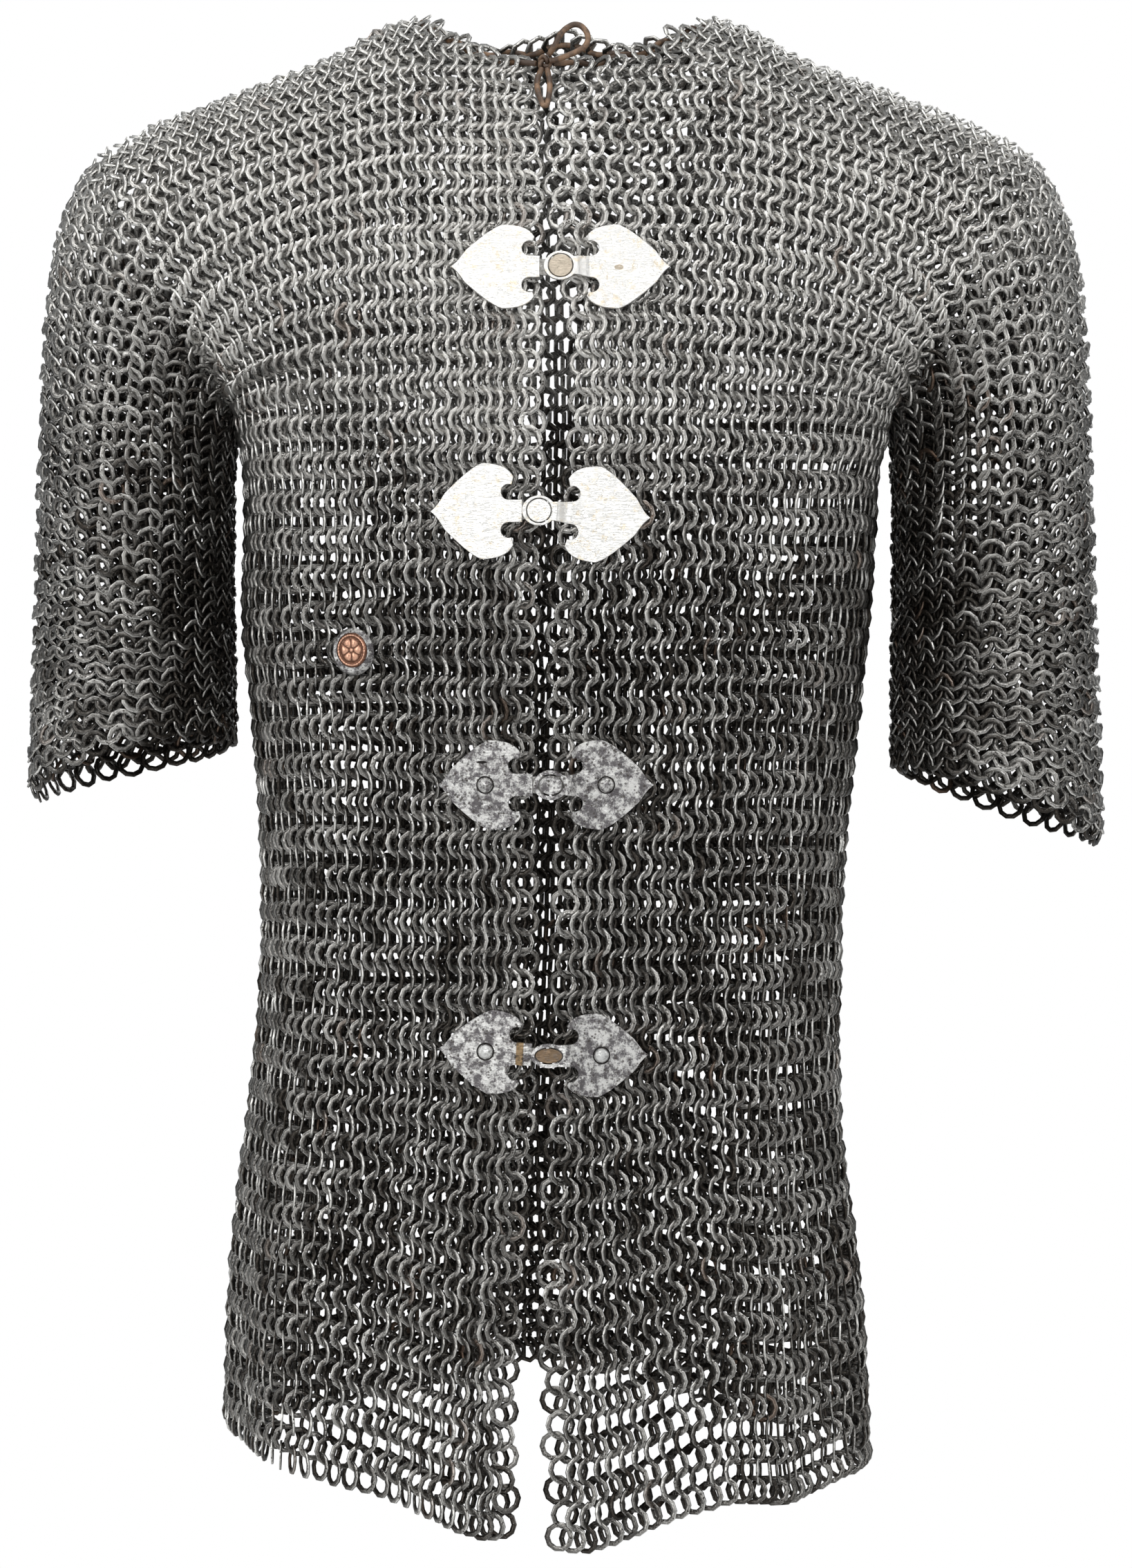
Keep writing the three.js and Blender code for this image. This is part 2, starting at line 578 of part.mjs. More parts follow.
function addClasp(group, clasp, number) {
  const name = `clasp_${number}`;
  const finish = clasp.riveted ? pittedIron : polishedIron;
  const extrude = { depth: plate, bevelEnabled: false, curveSegments: curveSteps };
  const tongue = new THREE.ExtrudeGeometry(leafShape(clasp, false), extrude);
  const tongueFrame = leafFrame(clasp, -1, clasp.tiltLeft);
  tongueFrame.multiply(new THREE.Matrix4().makeTranslation(0, 0, standOff(tongueFrame, tongue)));
  group.add(placed(meshOf(`${name}_tongue_leaf`, merged(tongue), finish), tongueFrame));

  // The neck is cranked so that the eye lies on the tongue.
  const eyeLeaf = new THREE.ExtrudeGeometry(leafShape(clasp, true), extrude);
  const eyeFrame = leafFrame(clasp, 1, clasp.tiltRight);
  eyeFrame.multiply(new THREE.Matrix4().makeTranslation(0, 0, standOff(eyeFrame, eyeLeaf)));
  const toTongue = tongueFrame.clone().invert().multiply(eyeFrame);
  const lean = toTongue.elements[10];
  const points = eyeLeaf.getAttribute('position');
  const eyeEnd = clasp.eye / 2 + 0.01;
  for (let k = 0; k < points.count; k += 1) {
    if (points.getX(k) > eyeEnd) continue;
    const below = new THREE.Vector3(points.getX(k), points.getY(k), 0).applyMatrix4(toTongue);
    points.setZ(k, points.getZ(k) + (plate + seat - below.z) / lean);
  }
  group.add(placed(meshOf(`${name}_eye_leaf`, merged(eyeLeaf), finish), eyeFrame));

  const studTop = plate + seat + plate + stud.height;
  const studGeometry = lathe([
    [0, plate + seat],
    [stud.radius, plate + seat],
    [stud.radius, studTop - stud.dome],
    [stud.radius * 0.8, studTop - stud.dome * 0.4],
    [0, studTop],
  ], 20);
  const eyeMiddle = new THREE.Vector3(0, 0, (plate * 1.5 + seat) / lean).applyMatrix4(toTongue);
  if (clasp.eye > eyeHeight) studGeometry.scale((stud.radius + (clasp.eye - eyeHeight) / 2) / stud.radius, 1, 1);
  studGeometry.translate(eyeMiddle.x, eyeMiddle.y, 0);
  group.add(placed(meshOf(`${name}_stud`, studGeometry, finish), tongueFrame));

  if (!clasp.riveted) return;
  const along = clasp.length / 2 - leafLength * (1 - rivet.along);
  for (const [place, frame] of [['left', tongueFrame], ['right', eyeFrame]]) {
    const base = plate + seat;
    const dome = lathe([
      [0, base],
      [rivet.radius, base],
      [rivet.radius * 0.85, base + rivet.height * 0.6],
      [rivet.radius * 0.45, base + rivet.height * 0.93],
      [0, base + rivet.height],
    ], 12);
    dome.translate(along, 0, 0);
    group.add(placed(meshOf(`${name}_rivet_${place}`, dome, finish), frame));
  }
}

// Medallion: a domed washer, and a disc on it a little up and to the right.
const medallion = { x: -105, z: -329, washerRadius: 12, washerHeight: 3.4, discRadius: 8.8, discHeight: 1.4 };
const discShift = { x: 1, z: 1 };

function addMedallion(group) {
  const at = frontAt(medallion.x, medallion.z);
  const reach = medallion.washerRadius;
  const right = frontAt(medallion.x + reach, medallion.z).sub(frontAt(medallion.x - reach, medallion.z)).normalize();
  const up = frontAt(medallion.x, medallion.z + reach).sub(frontAt(medallion.x, medallion.z - reach));
  const out = new THREE.Vector3().crossVectors(right, up).normalize();
  const across = new THREE.Vector3().crossVectors(out, right).normalize();
  const frame = new THREE.Matrix4().makeBasis(right, across, out).setPosition(at);
  const top = medallion.washerHeight;
  const washer = lathe([
    [0, 0],
    [medallion.washerRadius, 0],
    [medallion.washerRadius, 0.9],
    [medallion.discRadius + 1.4, top],
    [0, top],
  ], 28);
  const base = standOff(frame, washer);
  frame.multiply(new THREE.Matrix4().makeTranslation(0, 0, base));
  group.add(placed(meshOf('medallion_washer', washer, pittedIron), frame));
  const disc = lathe([
    [0, top + seat],
    [medallion.discRadius, top + seat],
    [medallion.discRadius, top + seat + medallion.discHeight * 0.7],
    [medallion.discRadius - 0.6, top + seat + medallion.discHeight],
    [0, top + seat + medallion.discHeight],
  ], 28);
  disc.translate(discShift.x, discShift.z, 0);
  group.add(placed(meshOf('medallion_disc', disc, copper), frame));
}

// Lace: a thong through the outermost rings of the collar, tied in front.
const laceWidth = 3;
const laceColumn = 9.7;
const laceRows = { front: 8, back: 5.6 };
const laceStart = 0.12; // radians round the neck from the middle of the front
const laceSteps = 20; // on each side
const knot = { x: -10.5, y: -70.6, z: -28, width: 4.2, depth: 3, height: 4.6 };
// The free loop and the free drop both leave the knot and come back to it.
const freeLoop = {
  out: [0.45, -0.35, 0.82],
  back: [0.8, -0.6, 0.15],
  route: [
    [-5.4, -75, -20], [-2.7, -74, -14.5], [1.6, -72.5, -10], [6, -71.5, -8.6], [9.8, -72, -11],
    [11.6, -73.5, -15.5], [10.4, -75.2, -19.8], [6.6, -76.4, -22.8], [1.4, -77, -25.2], [-2.6, -75.6, -26.6],
  ],
};
const freeDrop = {
  out: [-0.35, -0.5, -0.79],
  back: [0.3, -0.5, -0.81],
  route: [
    [-14.2, -76.5, -38], [-13.9, -79.3, -43.5], [-12, -82.6, -49], [-10.2, -84.2, -51.8], [-8.8, -82.8, -48.6],
    [-8, -79.6, -43], [-8, -76.5, -38],
  ],
};
const bandEnd = [1, 0.1, -0.05];

// The point just off the knot in one direction, where a strand meets it.
function atKnot(direction) {
  const way = new THREE.Vector3(...direction).normalize();
  const radius = 1 / Math.hypot(way.x / knot.width, way.y / knot.depth, way.z / knot.height);
  return new THREE.Vector3(knot.x, knot.y, knot.z).addScaledVector(way, radius + seat);
}

function tube(points, steps) {
  const section = new THREE.Shape();
  const sides = 8;
  for (let k = 0; k < sides; k += 1) {
    const angle = (2 * Math.PI * k) / sides;
    section[k ? 'lineTo' : 'moveTo'](Math.cos(angle) * laceWidth / 2, Math.sin(angle) * laceWidth / 2);
  }
  const path = new THREE.CatmullRomCurve3(points);
  return merged(new THREE.ExtrudeGeometry(section, { steps, bevelEnabled: false, extrudePath: path }));
}

// The lace halfway round one side of the neck, outside the wall of the collar.
function laceSide(side) {
  const points = [];
  for (let k = 0; k <= laceSteps; k += 1) {
    const angle = laceStart + ((Math.PI - laceStart) * k) / laceSteps;
    const s = laceColumn * Math.sin(angle);
    const v = ridgeRow - (angle < Math.PI / 2 ? laceRows.front : laceRows.back) * Math.cos(angle);
    const here = mailPoint(side, s, v);
    const step = 0.2;
    const columnWay = mailPoint(side, s + step, v).sub(mailPoint(side, s - step, v)).multiplyScalar(side);
    const rowWay = mailPoint(side, s, v + step).sub(mailPoint(side, s, v - step));
    const out = new THREE.Vector3().crossVectors(columnWay, rowWay).normalize();
    points.push(here.addScaledVector(out, half + laceWidth / 2 + 0.6));
  }
  return points;
}

function addLace(group) {
  const [x, y, z] = bandEnd;
  const band = [atKnot([x, y, z]), ...laceSide(1), ...laceSide(-1).reverse().slice(1), atKnot([-x, y, z])];
  group.add(meshOf('lace_band', tube(band, 64), leather));
  const lump = new THREE.SphereGeometry(1, 16, 10);
  lump.scale(knot.width, knot.depth, knot.height);
  lump.translate(knot.x, knot.y, knot.z);
  group.add(meshOf('lace_knot', merged(lump), leather));
  for (const [name, free, steps] of [['lace_loop', freeLoop, 20], ['lace_drop', freeDrop, 18]]) {
    const middle = free.route.map((point) => new THREE.Vector3(...point));
    group.add(meshOf(name, tube([atKnot(free.out), ...middle, atKnot(free.back)], steps), leather));
  }
}

function buildShirt() {
  const group = new THREE.Group();
  const nets = makeNets();
  addNormals(nets);
  for (const [name, net] of Object.entries(nets)) group.add(meshOf(name, wallGeometry(net), mailIron));
  clasps.forEach((clasp, index) => addClasp(group, clasp, index + 1));
  addMedallion(group);
  addLace(group);
  return group;
}

export default buildShirt();
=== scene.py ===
import math

import bmesh
import bpy
import numpy as np
from mathutils import Matrix, Vector


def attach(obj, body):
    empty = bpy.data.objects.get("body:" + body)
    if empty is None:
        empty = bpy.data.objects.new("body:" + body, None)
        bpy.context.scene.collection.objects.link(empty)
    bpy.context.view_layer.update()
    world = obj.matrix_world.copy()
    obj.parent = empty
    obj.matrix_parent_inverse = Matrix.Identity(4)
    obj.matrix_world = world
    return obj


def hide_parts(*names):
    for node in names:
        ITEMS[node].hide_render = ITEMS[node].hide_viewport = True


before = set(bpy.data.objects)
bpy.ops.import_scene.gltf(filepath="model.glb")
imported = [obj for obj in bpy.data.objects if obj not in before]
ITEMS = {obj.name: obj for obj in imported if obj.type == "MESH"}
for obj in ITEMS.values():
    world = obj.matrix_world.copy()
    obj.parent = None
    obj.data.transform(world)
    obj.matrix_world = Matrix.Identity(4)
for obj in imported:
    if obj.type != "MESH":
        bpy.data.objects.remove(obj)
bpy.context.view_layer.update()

METRE = 0.001
random = np.random.default_rng(7)


# Camera
def make_camera():
    data = bpy.data.cameras.new("camera")
    data.sensor_width = 36
    data.lens = 104.8
    camera = bpy.data.objects.new("camera", data)
    camera.location = (0.0004, -2.4, -0.396)
    camera.rotation_euler = (math.radians(90), 0, 0)
    bpy.context.scene.collection.objects.link(camera)
    bpy.context.scene.camera = camera


make_camera()


# Materials
def put(tree, kind, inputs, **settings):
    """Adds a node. Each input is linked to a socket or set to a constant."""
    made = tree.nodes.new(kind)
    for key, value in settings.items():
        setattr(made, key, value)
    for key, value in inputs.items():
        if isinstance(value, bpy.types.NodeSocket):
            tree.links.new(value, made.inputs[key])
        else:
            made.inputs[key].default_value = value
    return made


def math_of(tree, operation, a, b=0.0):
    return put(tree, "ShaderNodeMath", {0: a, 1: b}, operation=operation).outputs[0]


def between(tree, value, low, high, start=0.0, end=1.0):
    """Maps a value from low..high to start..end, smoothly and clamped."""
    ends = {"From Min": low, "From Max": high, "To Min": start, "To Max": end}
    made = put(tree, "ShaderNodeMapRange", {"Value": value, **ends}, interpolation_type="SMOOTHSTEP")
    return made.outputs["Result"]


def mixed(tree, factor, first, second):
    """A colour between two others."""
    return put(tree, "ShaderNodeMix", {0: factor, 6: first, 7: second}, data_type="RGBA").outputs[2]


def noise(tree, at, scale, detail=3.0, roughness=0.6):
    inputs = {"Vector": at, "Scale": scale, "Detail": detail, "Roughness": roughness}
    return put(tree, "ShaderNodeTexNoise", inputs).outputs["Fac"]


def colour(red, green, blue):
    return (red, green, blue, 1.0)


def new_group(name, inputs, outputs):
    tree = bpy.data.node_groups.new(name, "ShaderNodeTree")
    for label, kind in inputs.items():
        tree.interface.new_socket(label, in_out="INPUT", socket_type=kind)
    for label, kind in outputs.items():
        tree.interface.new_socket(label, in_out="OUTPUT", socket_type=kind)
    return tree, tree.nodes.new("NodeGroupInput"), tree.nodes.new("NodeGroupOutput")


def make_pitting():
    """Corrosion pits, small bright specks and broad blotches of one metal surface."""
    values = {"Pits": "NodeSocketFloat", "Specks": "NodeSocketFloat", "Blotches": "NodeSocketFloat"}
    tree, given, result = new_group("pitting", {"Pits per metre": "NodeSocketFloat"}, values)
    at = put(tree, "ShaderNodeTexCoord", {}).outputs["Object"]
    scale = given.outputs[0]
    cells = put(tree, "ShaderNodeTexVoronoi", {"Vector": at, "Scale": scale}, feature="F1")
    where = noise(tree, at, math_of(tree, "MULTIPLY", scale, 0.4), 2.0)
    deep = between(tree, cells.outputs["Distance"], 0.2, 0.42, 1.0, 0.0)
    tree.links.new(math_of(tree, "MULTIPLY", deep, between(tree, where, 0.4, 0.56)), result.inputs["Pits"])
    grain = noise(tree, at, math_of(tree, "MULTIPLY", scale, 1.7), 3.0, 0.7)
    tree.links.new(between(tree, grain, 0.55, 0.7), result.inputs["Specks"])
    tree.links.new(noise(tree, at, math_of(tree, "MULTIPLY", scale, 0.08), 4.0), result.inputs["Blotches"])
    return tree


PITTING = make_pitting()


def new_material(name):
    material = bpy.data.materials.new(name)
    material.use_nodes = True
    tree = material.node_tree
    tree.nodes.clear()
    shader = tree.nodes.new("ShaderNodeBsdfPrincipled")
    output = tree.nodes.new("ShaderNodeOutputMaterial")
    tree.links.new(shader.outputs[0], output.inputs[0])
    return material, tree, shader


def pitting_in(tree, per_metre):
    return put(tree, "ShaderNodeGroup", {0: per_metre}, node_tree=PITTING).outputs


def relief(tree, height, depth, under=None):
    """A bump of a height mask that is depth metres from 0 to 1."""
    inputs = {"Height": height, "Distance": depth, "Strength": 1.0}
    if under is not None:
        inputs["Normal"] = under
    return put(tree, "ShaderNodeBump", inputs).outputs["Normal"]


def make_mail_iron():
    """Flat rings of tumbled iron: mottled and pitted, with a painted highlight along the outer edge."""
    material, tree, shader = new_material("mail_iron")
    ring = put(tree, "ShaderNodeAttribute", {}, attribute_name="ring").outputs["Vector"]
    tone, rust, across = put(tree, "ShaderNodeSeparateXYZ", {0: ring}).outputs
    marks = pitting_in(tree, 620.0)
    cloudy = math_of(tree, "MULTIPLY_ADD", marks["Blotches"], 0.5)
    cloudy.node.inputs[2].default_value = -0.25
    # tone holds painted light and shade as well as each ring's own random tone
    shade = math_of(tree, "ADD", tone, cloudy)
    iron = mixed(tree, shade, colour(0.035, 0.031, 0.026), colour(0.62, 0.605, 0.57))
    # Painted highlight: the outer edge of each ring is mixed towards near white, the more on lighter rings
    rubbing_and_highlight = between(tree, tone, -0.1, 0.4, 0.0, 0.75)
    wear_and_highlight = math_of(tree, "MULTIPLY", between(tree, across, 0.78, 1.0), rubbing_and_highlight)
    iron = mixed(tree, wear_and_highlight, iron, colour(0.86, 0.85, 0.81))
    polished = between(tree, tone, -0.1, 0.5, 0.1, 0.75)
    specks = math_of(tree, "MULTIPLY", marks["Specks"], polished)
    iron = mixed(tree, specks, iron, colour(0.95, 0.94, 0.91))
    iron = mixed(tree, math_of(tree, "MULTIPLY", marks["Pits"], 0.9), iron, colour(0.03, 0.026, 0.022))
    iron = mixed(tree, rust, iron, colour(0.17, 0.105, 0.07))
    tree.links.new(iron, shader.inputs["Base Color"])
    shader.inputs["Metallic"].default_value = 0.85
    tree.links.new(between(tree, marks["Blotches"], 0.3, 0.7, 0.3, 0.46), shader.inputs["Roughness"])
    middle = math_of(tree, "SUBTRACT", across, 0.4)
    rounded = math_of(tree, "SUBTRACT", 1.0, math_of(tree, "MULTIPLY", middle, middle))
    edge = relief(tree, rounded, 0.0006)
    hollow = math_of(tree, "SUBTRACT", 1.0, marks["Pits"])
    tree.links.new(relief(tree, hollow, 0.00022, edge), shader.inputs["Normal"])
    return material


def make_plate(name, dark, light, roughness, pitted, stained=(0.34, 0.5)):
    """Sheet metal of a clasp.

    pitted is how much the pits darken it, and stained is where its noise turns from dark to light.
    """
    material, tree, shader = new_material(name)
    at = put(tree, "ShaderNodeTexCoord", {}).outputs["Object"]
    marks = pitting_in(tree, 520.0)
    stretched = put(tree, "ShaderNodeMapping", {"Vector": at, "Scale": (1.0, 1.0, 14.0)}).outputs[0]
    scratches = between(tree, noise(tree, stretched, 260.0, 4.0, 0.75), 0.46, 0.62)
    stains = noise(tree, at, 230.0, 8.0, 0.78)
    metal = mixed(tree, between(tree, stains, *stained), dark, light)
    faint = math_of(tree, "MULTIPLY", scratches, 0.18)
    metal = mixed(tree, faint, metal, light)
    metal = mixed(tree, math_of(tree, "MULTIPLY", marks["Pits"], pitted), metal, colour(0.07, 0.06, 0.05))
    tree.links.new(metal, shader.inputs["Base Color"])
    shader.inputs["Metallic"].default_value = 1.0
    rough = between(tree, scratches, 0.0, 1.0, roughness, roughness + 0.1)
    tree.links.new(rough, shader.inputs["Roughness"])
    wear_and_highlight = math_of(tree, "MULTIPLY", math_of(tree, "ADD", marks["Pits"], scratches), -1.0)
    tree.links.new(relief(tree, wear_and_highlight, 0.00004 + 0.0001 * pitted), shader.inputs["Normal"])
    return material


def make_copper():
    """Dull copper, dark in the low places of its relief."""
    material, tree, shader = new_material("copper")
    height = put(tree, "ShaderNodeAttribute", {}, attribute_name="relief").outputs["Fac"]
    marks = pitting_in(tree, 900.0)
    patina, bare = colour(0.12, 0.055, 0.035), colour(0.74, 0.42, 0.29)
    metal = mixed(tree, between(tree, height, 0.1, 0.75), patina, bare)
    metal = mixed(tree, math_of(tree, "MULTIPLY", marks["Specks"], 0.3), metal, colour(0.85, 0.6, 0.46))
    metal = mixed(tree, math_of(tree, "MULTIPLY", marks["Pits"], 0.5), metal, colour(0.08, 0.045, 0.03))
    tree.links.new(metal, shader.inputs["Base Color"])
    shader.inputs["Metallic"].default_value = 1.0
    tree.links.new(between(tree, marks["Blotches"], 0.3, 0.7, 0.3, 0.46), shader.inputs["Roughness"])
    return material


def make_leather():
    """Waxed thong, with a fine grain and paler scuffed places."""
    material, tree, shader = new_material("leather")
    at = put(tree, "ShaderNodeTexCoord", {}).outputs["Object"]
    grain = noise(tree, at, 1400.0, 4.0, 0.7)
    rubbing_and_highlight = noise(tree, at, 160.0, 3.0)
    waxed, pale = colour(0.06, 0.034, 0.02), colour(0.23, 0.135, 0.075)
    hide = mixed(tree, between(tree, rubbing_and_highlight, 0.38, 0.66), waxed, pale)
    hide = mixed(tree, between(tree, grain, 0.5, 0.7, 0.0, 0.35), hide, colour(0.04, 0.02, 0.012))
    tree.links.new(hide, shader.inputs["Base Color"])
    shader.inputs["Roughness"].default_value = 0.48
    tree.links.new(relief(tree, grain, 0.0002), shader.inputs["Normal"])
    return material


MAIL_IRON = make_mail_iron()
BRIGHT = make_plate("bright_iron", colour(0.72, 0.62, 0.46), colour(0.745, 0.735, 0.71), 0.34, 0.05)
BEIGE = make_plate("dull_stud", colour(0.4, 0.35, 0.28), colour(0.52, 0.45, 0.36), 0.42, 0.1)
# Painted shade: the tongue, which lies low under the eye, gets a darker metal than its leaf
PAINTED_SHADE_TONGUE = make_plate("shaded_tongue", colour(0.2, 0.19, 0.17), colour(0.38, 0.37, 0.35), 0.42, 0.2)
WORN = make_plate("worn_iron", colour(0.12, 0.11, 0.115), colour(0.78, 0.77, 0.745), 0.36, 0.8, (0.43, 0.58))
RIVET = make_plate("bright_rivet", colour(0.35, 0.35, 0.34), colour(0.68, 0.68, 0.66), 0.38, 0.4)
BRASS = make_plate("brass", colour(0.12, 0.085, 0.05), colour(0.3, 0.21, 0.12), 0.4, 0.6)
BROWN = make_plate("brown_stud", colour(0.13, 0.12, 0.11), colour(0.2, 0.14, 0.09), 0.42, 0.2)
DARK = make_plate("dark_seam", colour(0.01, 0.009, 0.008), colour(0.035, 0.032, 0.03), 0.5, 0.4)
STUD_METAL = {1: BEIGE, 4: BROWN}
COPPER = make_copper()
LEATHER = make_leather()


def add_piece(name, data, material, replaced):
    """Puts a mesh or curve in the scene as a piece that rides on the shirt."""
    obj = bpy.data.objects.new(name, data)
    bpy.context.scene.collection.objects.link(obj)
    data.materials.append(material)
    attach(obj, "root")
    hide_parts(*replaced)
    return obj


# Lace ends, which are the only free cords
LACE_WIDTH = 3.0
KNOT = {"at": (-10.5, -70.6, -28.0), "half": (4.2, 3.0, 4.6)}
KNOT_GAP = 0.3
FREE_ENDS = {
    "lace_loop": {
        "length": 59.0,
        "out": (0.45, -0.35, 0.82),
        "back": (0.8, -0.6, 0.15),
        "route": (
            (-5.4, -75, -20), (-2.7, -74, -14.5), (1.6, -72.5, -10), (6, -71.5, -8.6),
            (9.8, -72, -11), (11.6, -73.5, -15.5), (10.4, -75.2, -19.8), (6.6, -76.4, -22.8),
            (1.4, -77, -25.2), (-2.6, -75.6, -26.6),
        ),
    },
    "lace_drop": {
        "length": 50.0,
        "out": (-0.35, -0.5, -0.79),
        "back": (0.3, -0.5, -0.81),
        "route": (
            (-14.2, -76.5, -38), (-13.9, -79.3, -43.5), (-12, -82.6, -49), (-10.2, -84.2, -51.8),
            (-8.8, -82.8, -48.6), (-8, -79.6, -43), (-8, -76.5, -38),
        ),
    },
}


def at_knot(direction):
    """The point just off the knot in one direction, where a strand meets it."""
    way = np.array(direction) / np.linalg.norm(direction)
    radius = 1 / np.linalg.norm(way / KNOT["half"])
    return np.array(KNOT["at"]) + way * (radius + KNOT_GAP)


def make_free_ends():
    for name, end in FREE_ENDS.items():
        curve = bpy.data.curves.new(name, "CURVE")
        curve.dimensions = "3D"
        curve.bevel_depth = LACE_WIDTH / 2 * METRE
        curve.bevel_resolution = 3
        curve.use_fill_caps = True
        points = [at_knot(end["out"]), *end["route"], at_knot(end["back"])]
        spline = curve.splines.new("BEZIER")
        spline.resolution_u = 8
        spline.bezier_points.add(len(points) - 1)
        for knot, point in zip(spline.bezier_points, points):
            knot.co = Vector(point) * METRE
            knot.handle_left_type = knot.handle_right_type = "AUTO"
        strand = add_piece(name + "_strand", curve, LEATHER, [name])
        bpy.context.view_layer.update()
        print(name, "is", round(spline.calc_length() / METRE, 1), "mm long")


make_free_ends()

# The surface of the mail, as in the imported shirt.
# A place on it is a side (+1 right, -1 left), a column s and a row v. A face is -1 in front, +1 behind.
# Columns run from the middle over the armhole and down the sleeve.
# Rows run from the front hem over the shoulder and down the back.
NECK_COLUMN = 9
ARMHOLE_COLUMN = 30
CUFF_COLUMN = {1: 60, -1: 58}
RIDGE_ROW = 27.5
BACK_ARMPIT_ROW = 55
SKIRT_ROWS = 56.5
OPENING_EASE = 3
ARMPIT_DROP = 205
PLAIN_HEM_DROP = 745
NECK_ROWS = {-1: 7.2, 1: 4.8}
BACK_NECK_RISE = 15
SQUARENESS = 2.25
ARC_STEPS = 24
SIDE_NAME = {1: "right", -1: "left"}
FACE_NAME = {1: "back", -1: "front"}

# Level sections of the trunk
TRUNK = {
    "drop": (205, 232, 270, 311, 350, 396, 437, 478, 520, 561, 602, 643, 685, 726, 790),
    "centre": (-1, -2, -3, -5, -5, -5.5, -6.5, -7.5, -9, -11, -12, -11.3, -11, -10.5, -10),
    "width": (169, 163, 161, 160, 156, 151.5, 148.5, 147.5, 148, 150, 154, 159, 162, 163.5, 165),
    "front": (118, 120.5, 121.5, 118.5, 115.5, 112, 109.5, 107.5, 106, 106.3, 107.2, 108.5, 109.7, 111, 113),
    "back": (112, 110, 107.5, 103.5, 100.5, 98, 97.5, 98.5, 101, 105, 109.5, 114, 117.5, 119, 120),
}
# The two edges of the front opening
OPENING = {
    "drop": (26, 97, 168, 223, 278, 337, 396, 435, 494, 553, 592, 631, 690, 760),
    "left": (-18, -12.5, -12.5, -12.5, -12.5, -15, -16, -17, -15, -16, -19.4, -22, -26, -25),
    "right": (-6, -8, 2.4, 2.4, -4.5, -8.3, -7, -3.8, -5.2, -8.3, -10.4, -12, -10.4, -8.3),
}
# How low the hem hangs
HEM = {
    "s": (0, 2, 6, 12, 18, 24, 30),
    "front left": (771, 775, 767, 753, 744, 736, 728),
    "front right": (779, 782, 773, 757, 761, 750, 742),
    "back left": (712, 713, 718, 729, 734, 732, 728),
    "back right": (712, 713, 719, 733, 742, 744, 742),
}
# The crest of the shoulder and arm, by its length from the neck
CREST = {
    "length": (0, 20, 42, 65, 110, 153, 187, 223, 267, 322, 392, 447, 542),
    "x": (77, 96, 115, 136, 178, 218, 247, 263, 270, 273, 275, 277, 280),
    "z": (3, -3.5, -14.5, -24, -40, -56, -74, -106, -150, -205, -275, -330, -425),
}
CREST_COLUMNS = {"s": (9, 16, 23, 30, 34, 38, 60), "length": (0, 55, 115, 181, 222, 267, 542)}
# The inner line of the sleeve
INNER_ARM = {"s": (30, 31, 33, 40, 60), "x": (169, 173, 175, 176, 175), "z": (-205, -210, -223, -265, -385)}
INNER_ARM_SHIFT = -1
CUFF_RISE = {1: 6, -1: 12}
CUFF_RISE_FROM = 44
# How far a column bows out over the shoulder, and the angle that it turns through
BOW = {
    "s": (0, 10, 15, 20, 24, 27, 30, 34, 40, 50, 60),
    "front": (118, 112, 107, 100, 93, 87, 80, 74, 69, 66, 64),
    "back": (112, 107, 102, 96, 90, 85, 80, 74, 69, 66, 64),
    "turn": (90, 100, 114, 132, 148, 163, 180, 180, 180, 180, 180),
}
# Shallow upright folds that grow towards the hem: middle column, spread, and rise at the hem
SKIRT_FOLDS = {
    ("front", 1): ((7, 3, -4), (13.5, 3, 4), (20, 2.6, -5), (26, 2.4, 3.5)),
    ("front", -1): ((5, 2.4, 3), (11, 3, -5), (18, 3, 4.5), (24.5, 2.4, -4)),
    ("back", 1): ((8, 3, 5), (15.5, 3, -5), (22, 2.6, 4)),
    ("back", -1): ((6.5, 3, -4), (14, 3, 5), (21, 2.6, -4.5)),
}
FOLD_START = 0.3
ARMPIT_CREASE = {"s": 29, "spread": 2, "depth": 7, "rows": 13}


def smooth(start, end, at):
    share = np.clip((at - start) / (end - start), 0, 1)
    return share * share * (3 - 2 * share)


def bump(middle, spread, at):
    return np.exp(-(((at - middle) / spread) ** 2))


def read(table, key, column, at):
    """A smooth curve through one column of a table."""
    x = np.array(table[key], float)
    y = np.array(table[column], float)
    slope = np.gradient(y, x)
    slope[1:-1] = (y[2:] - y[:-2]) / (x[2:] - x[:-2])
    place = np.clip(at, x[0], x[-1])
    k = np.clip(np.searchsorted(x, place) - 1, 0, len(x) - 2)
    span = x[k + 1] - x[k]
    t = (place - x[k]) / span
    start = (2 * t**3 - 3 * t**2 + 1) * y[k] + (t**3 - 2 * t**2 + t) * span * slope[k]
    return start + (3 * t**2 - 2 * t**3) * y[k + 1] + (t**3 - t**2) * span * slope[k + 1]


def angle_at_share(points_at, turn, share):
    """The angles at shares of the lengths of many curves. points_at gives a row of points for each."""
    points = points_at(turn[:, None] * np.linspace(0, 1, ARC_STEPS + 1))
    pieces = np.linalg.norm(np.diff(points, axis=1), axis=2)
    lengths = np.concatenate([np.zeros((len(turn), 1)), np.cumsum(pieces, axis=1)], axis=1)
    wanted = share * lengths[:, -1]
    k = np.clip((lengths < wanted[:, None]).sum(axis=1) - 1, 0, ARC_STEPS - 1)
    each = np.arange(len(turn))
    part = (wanted - lengths[each, k]) / (lengths[each, k + 1] - lengths[each, k])
    return turn * (k + part) / ARC_STEPS


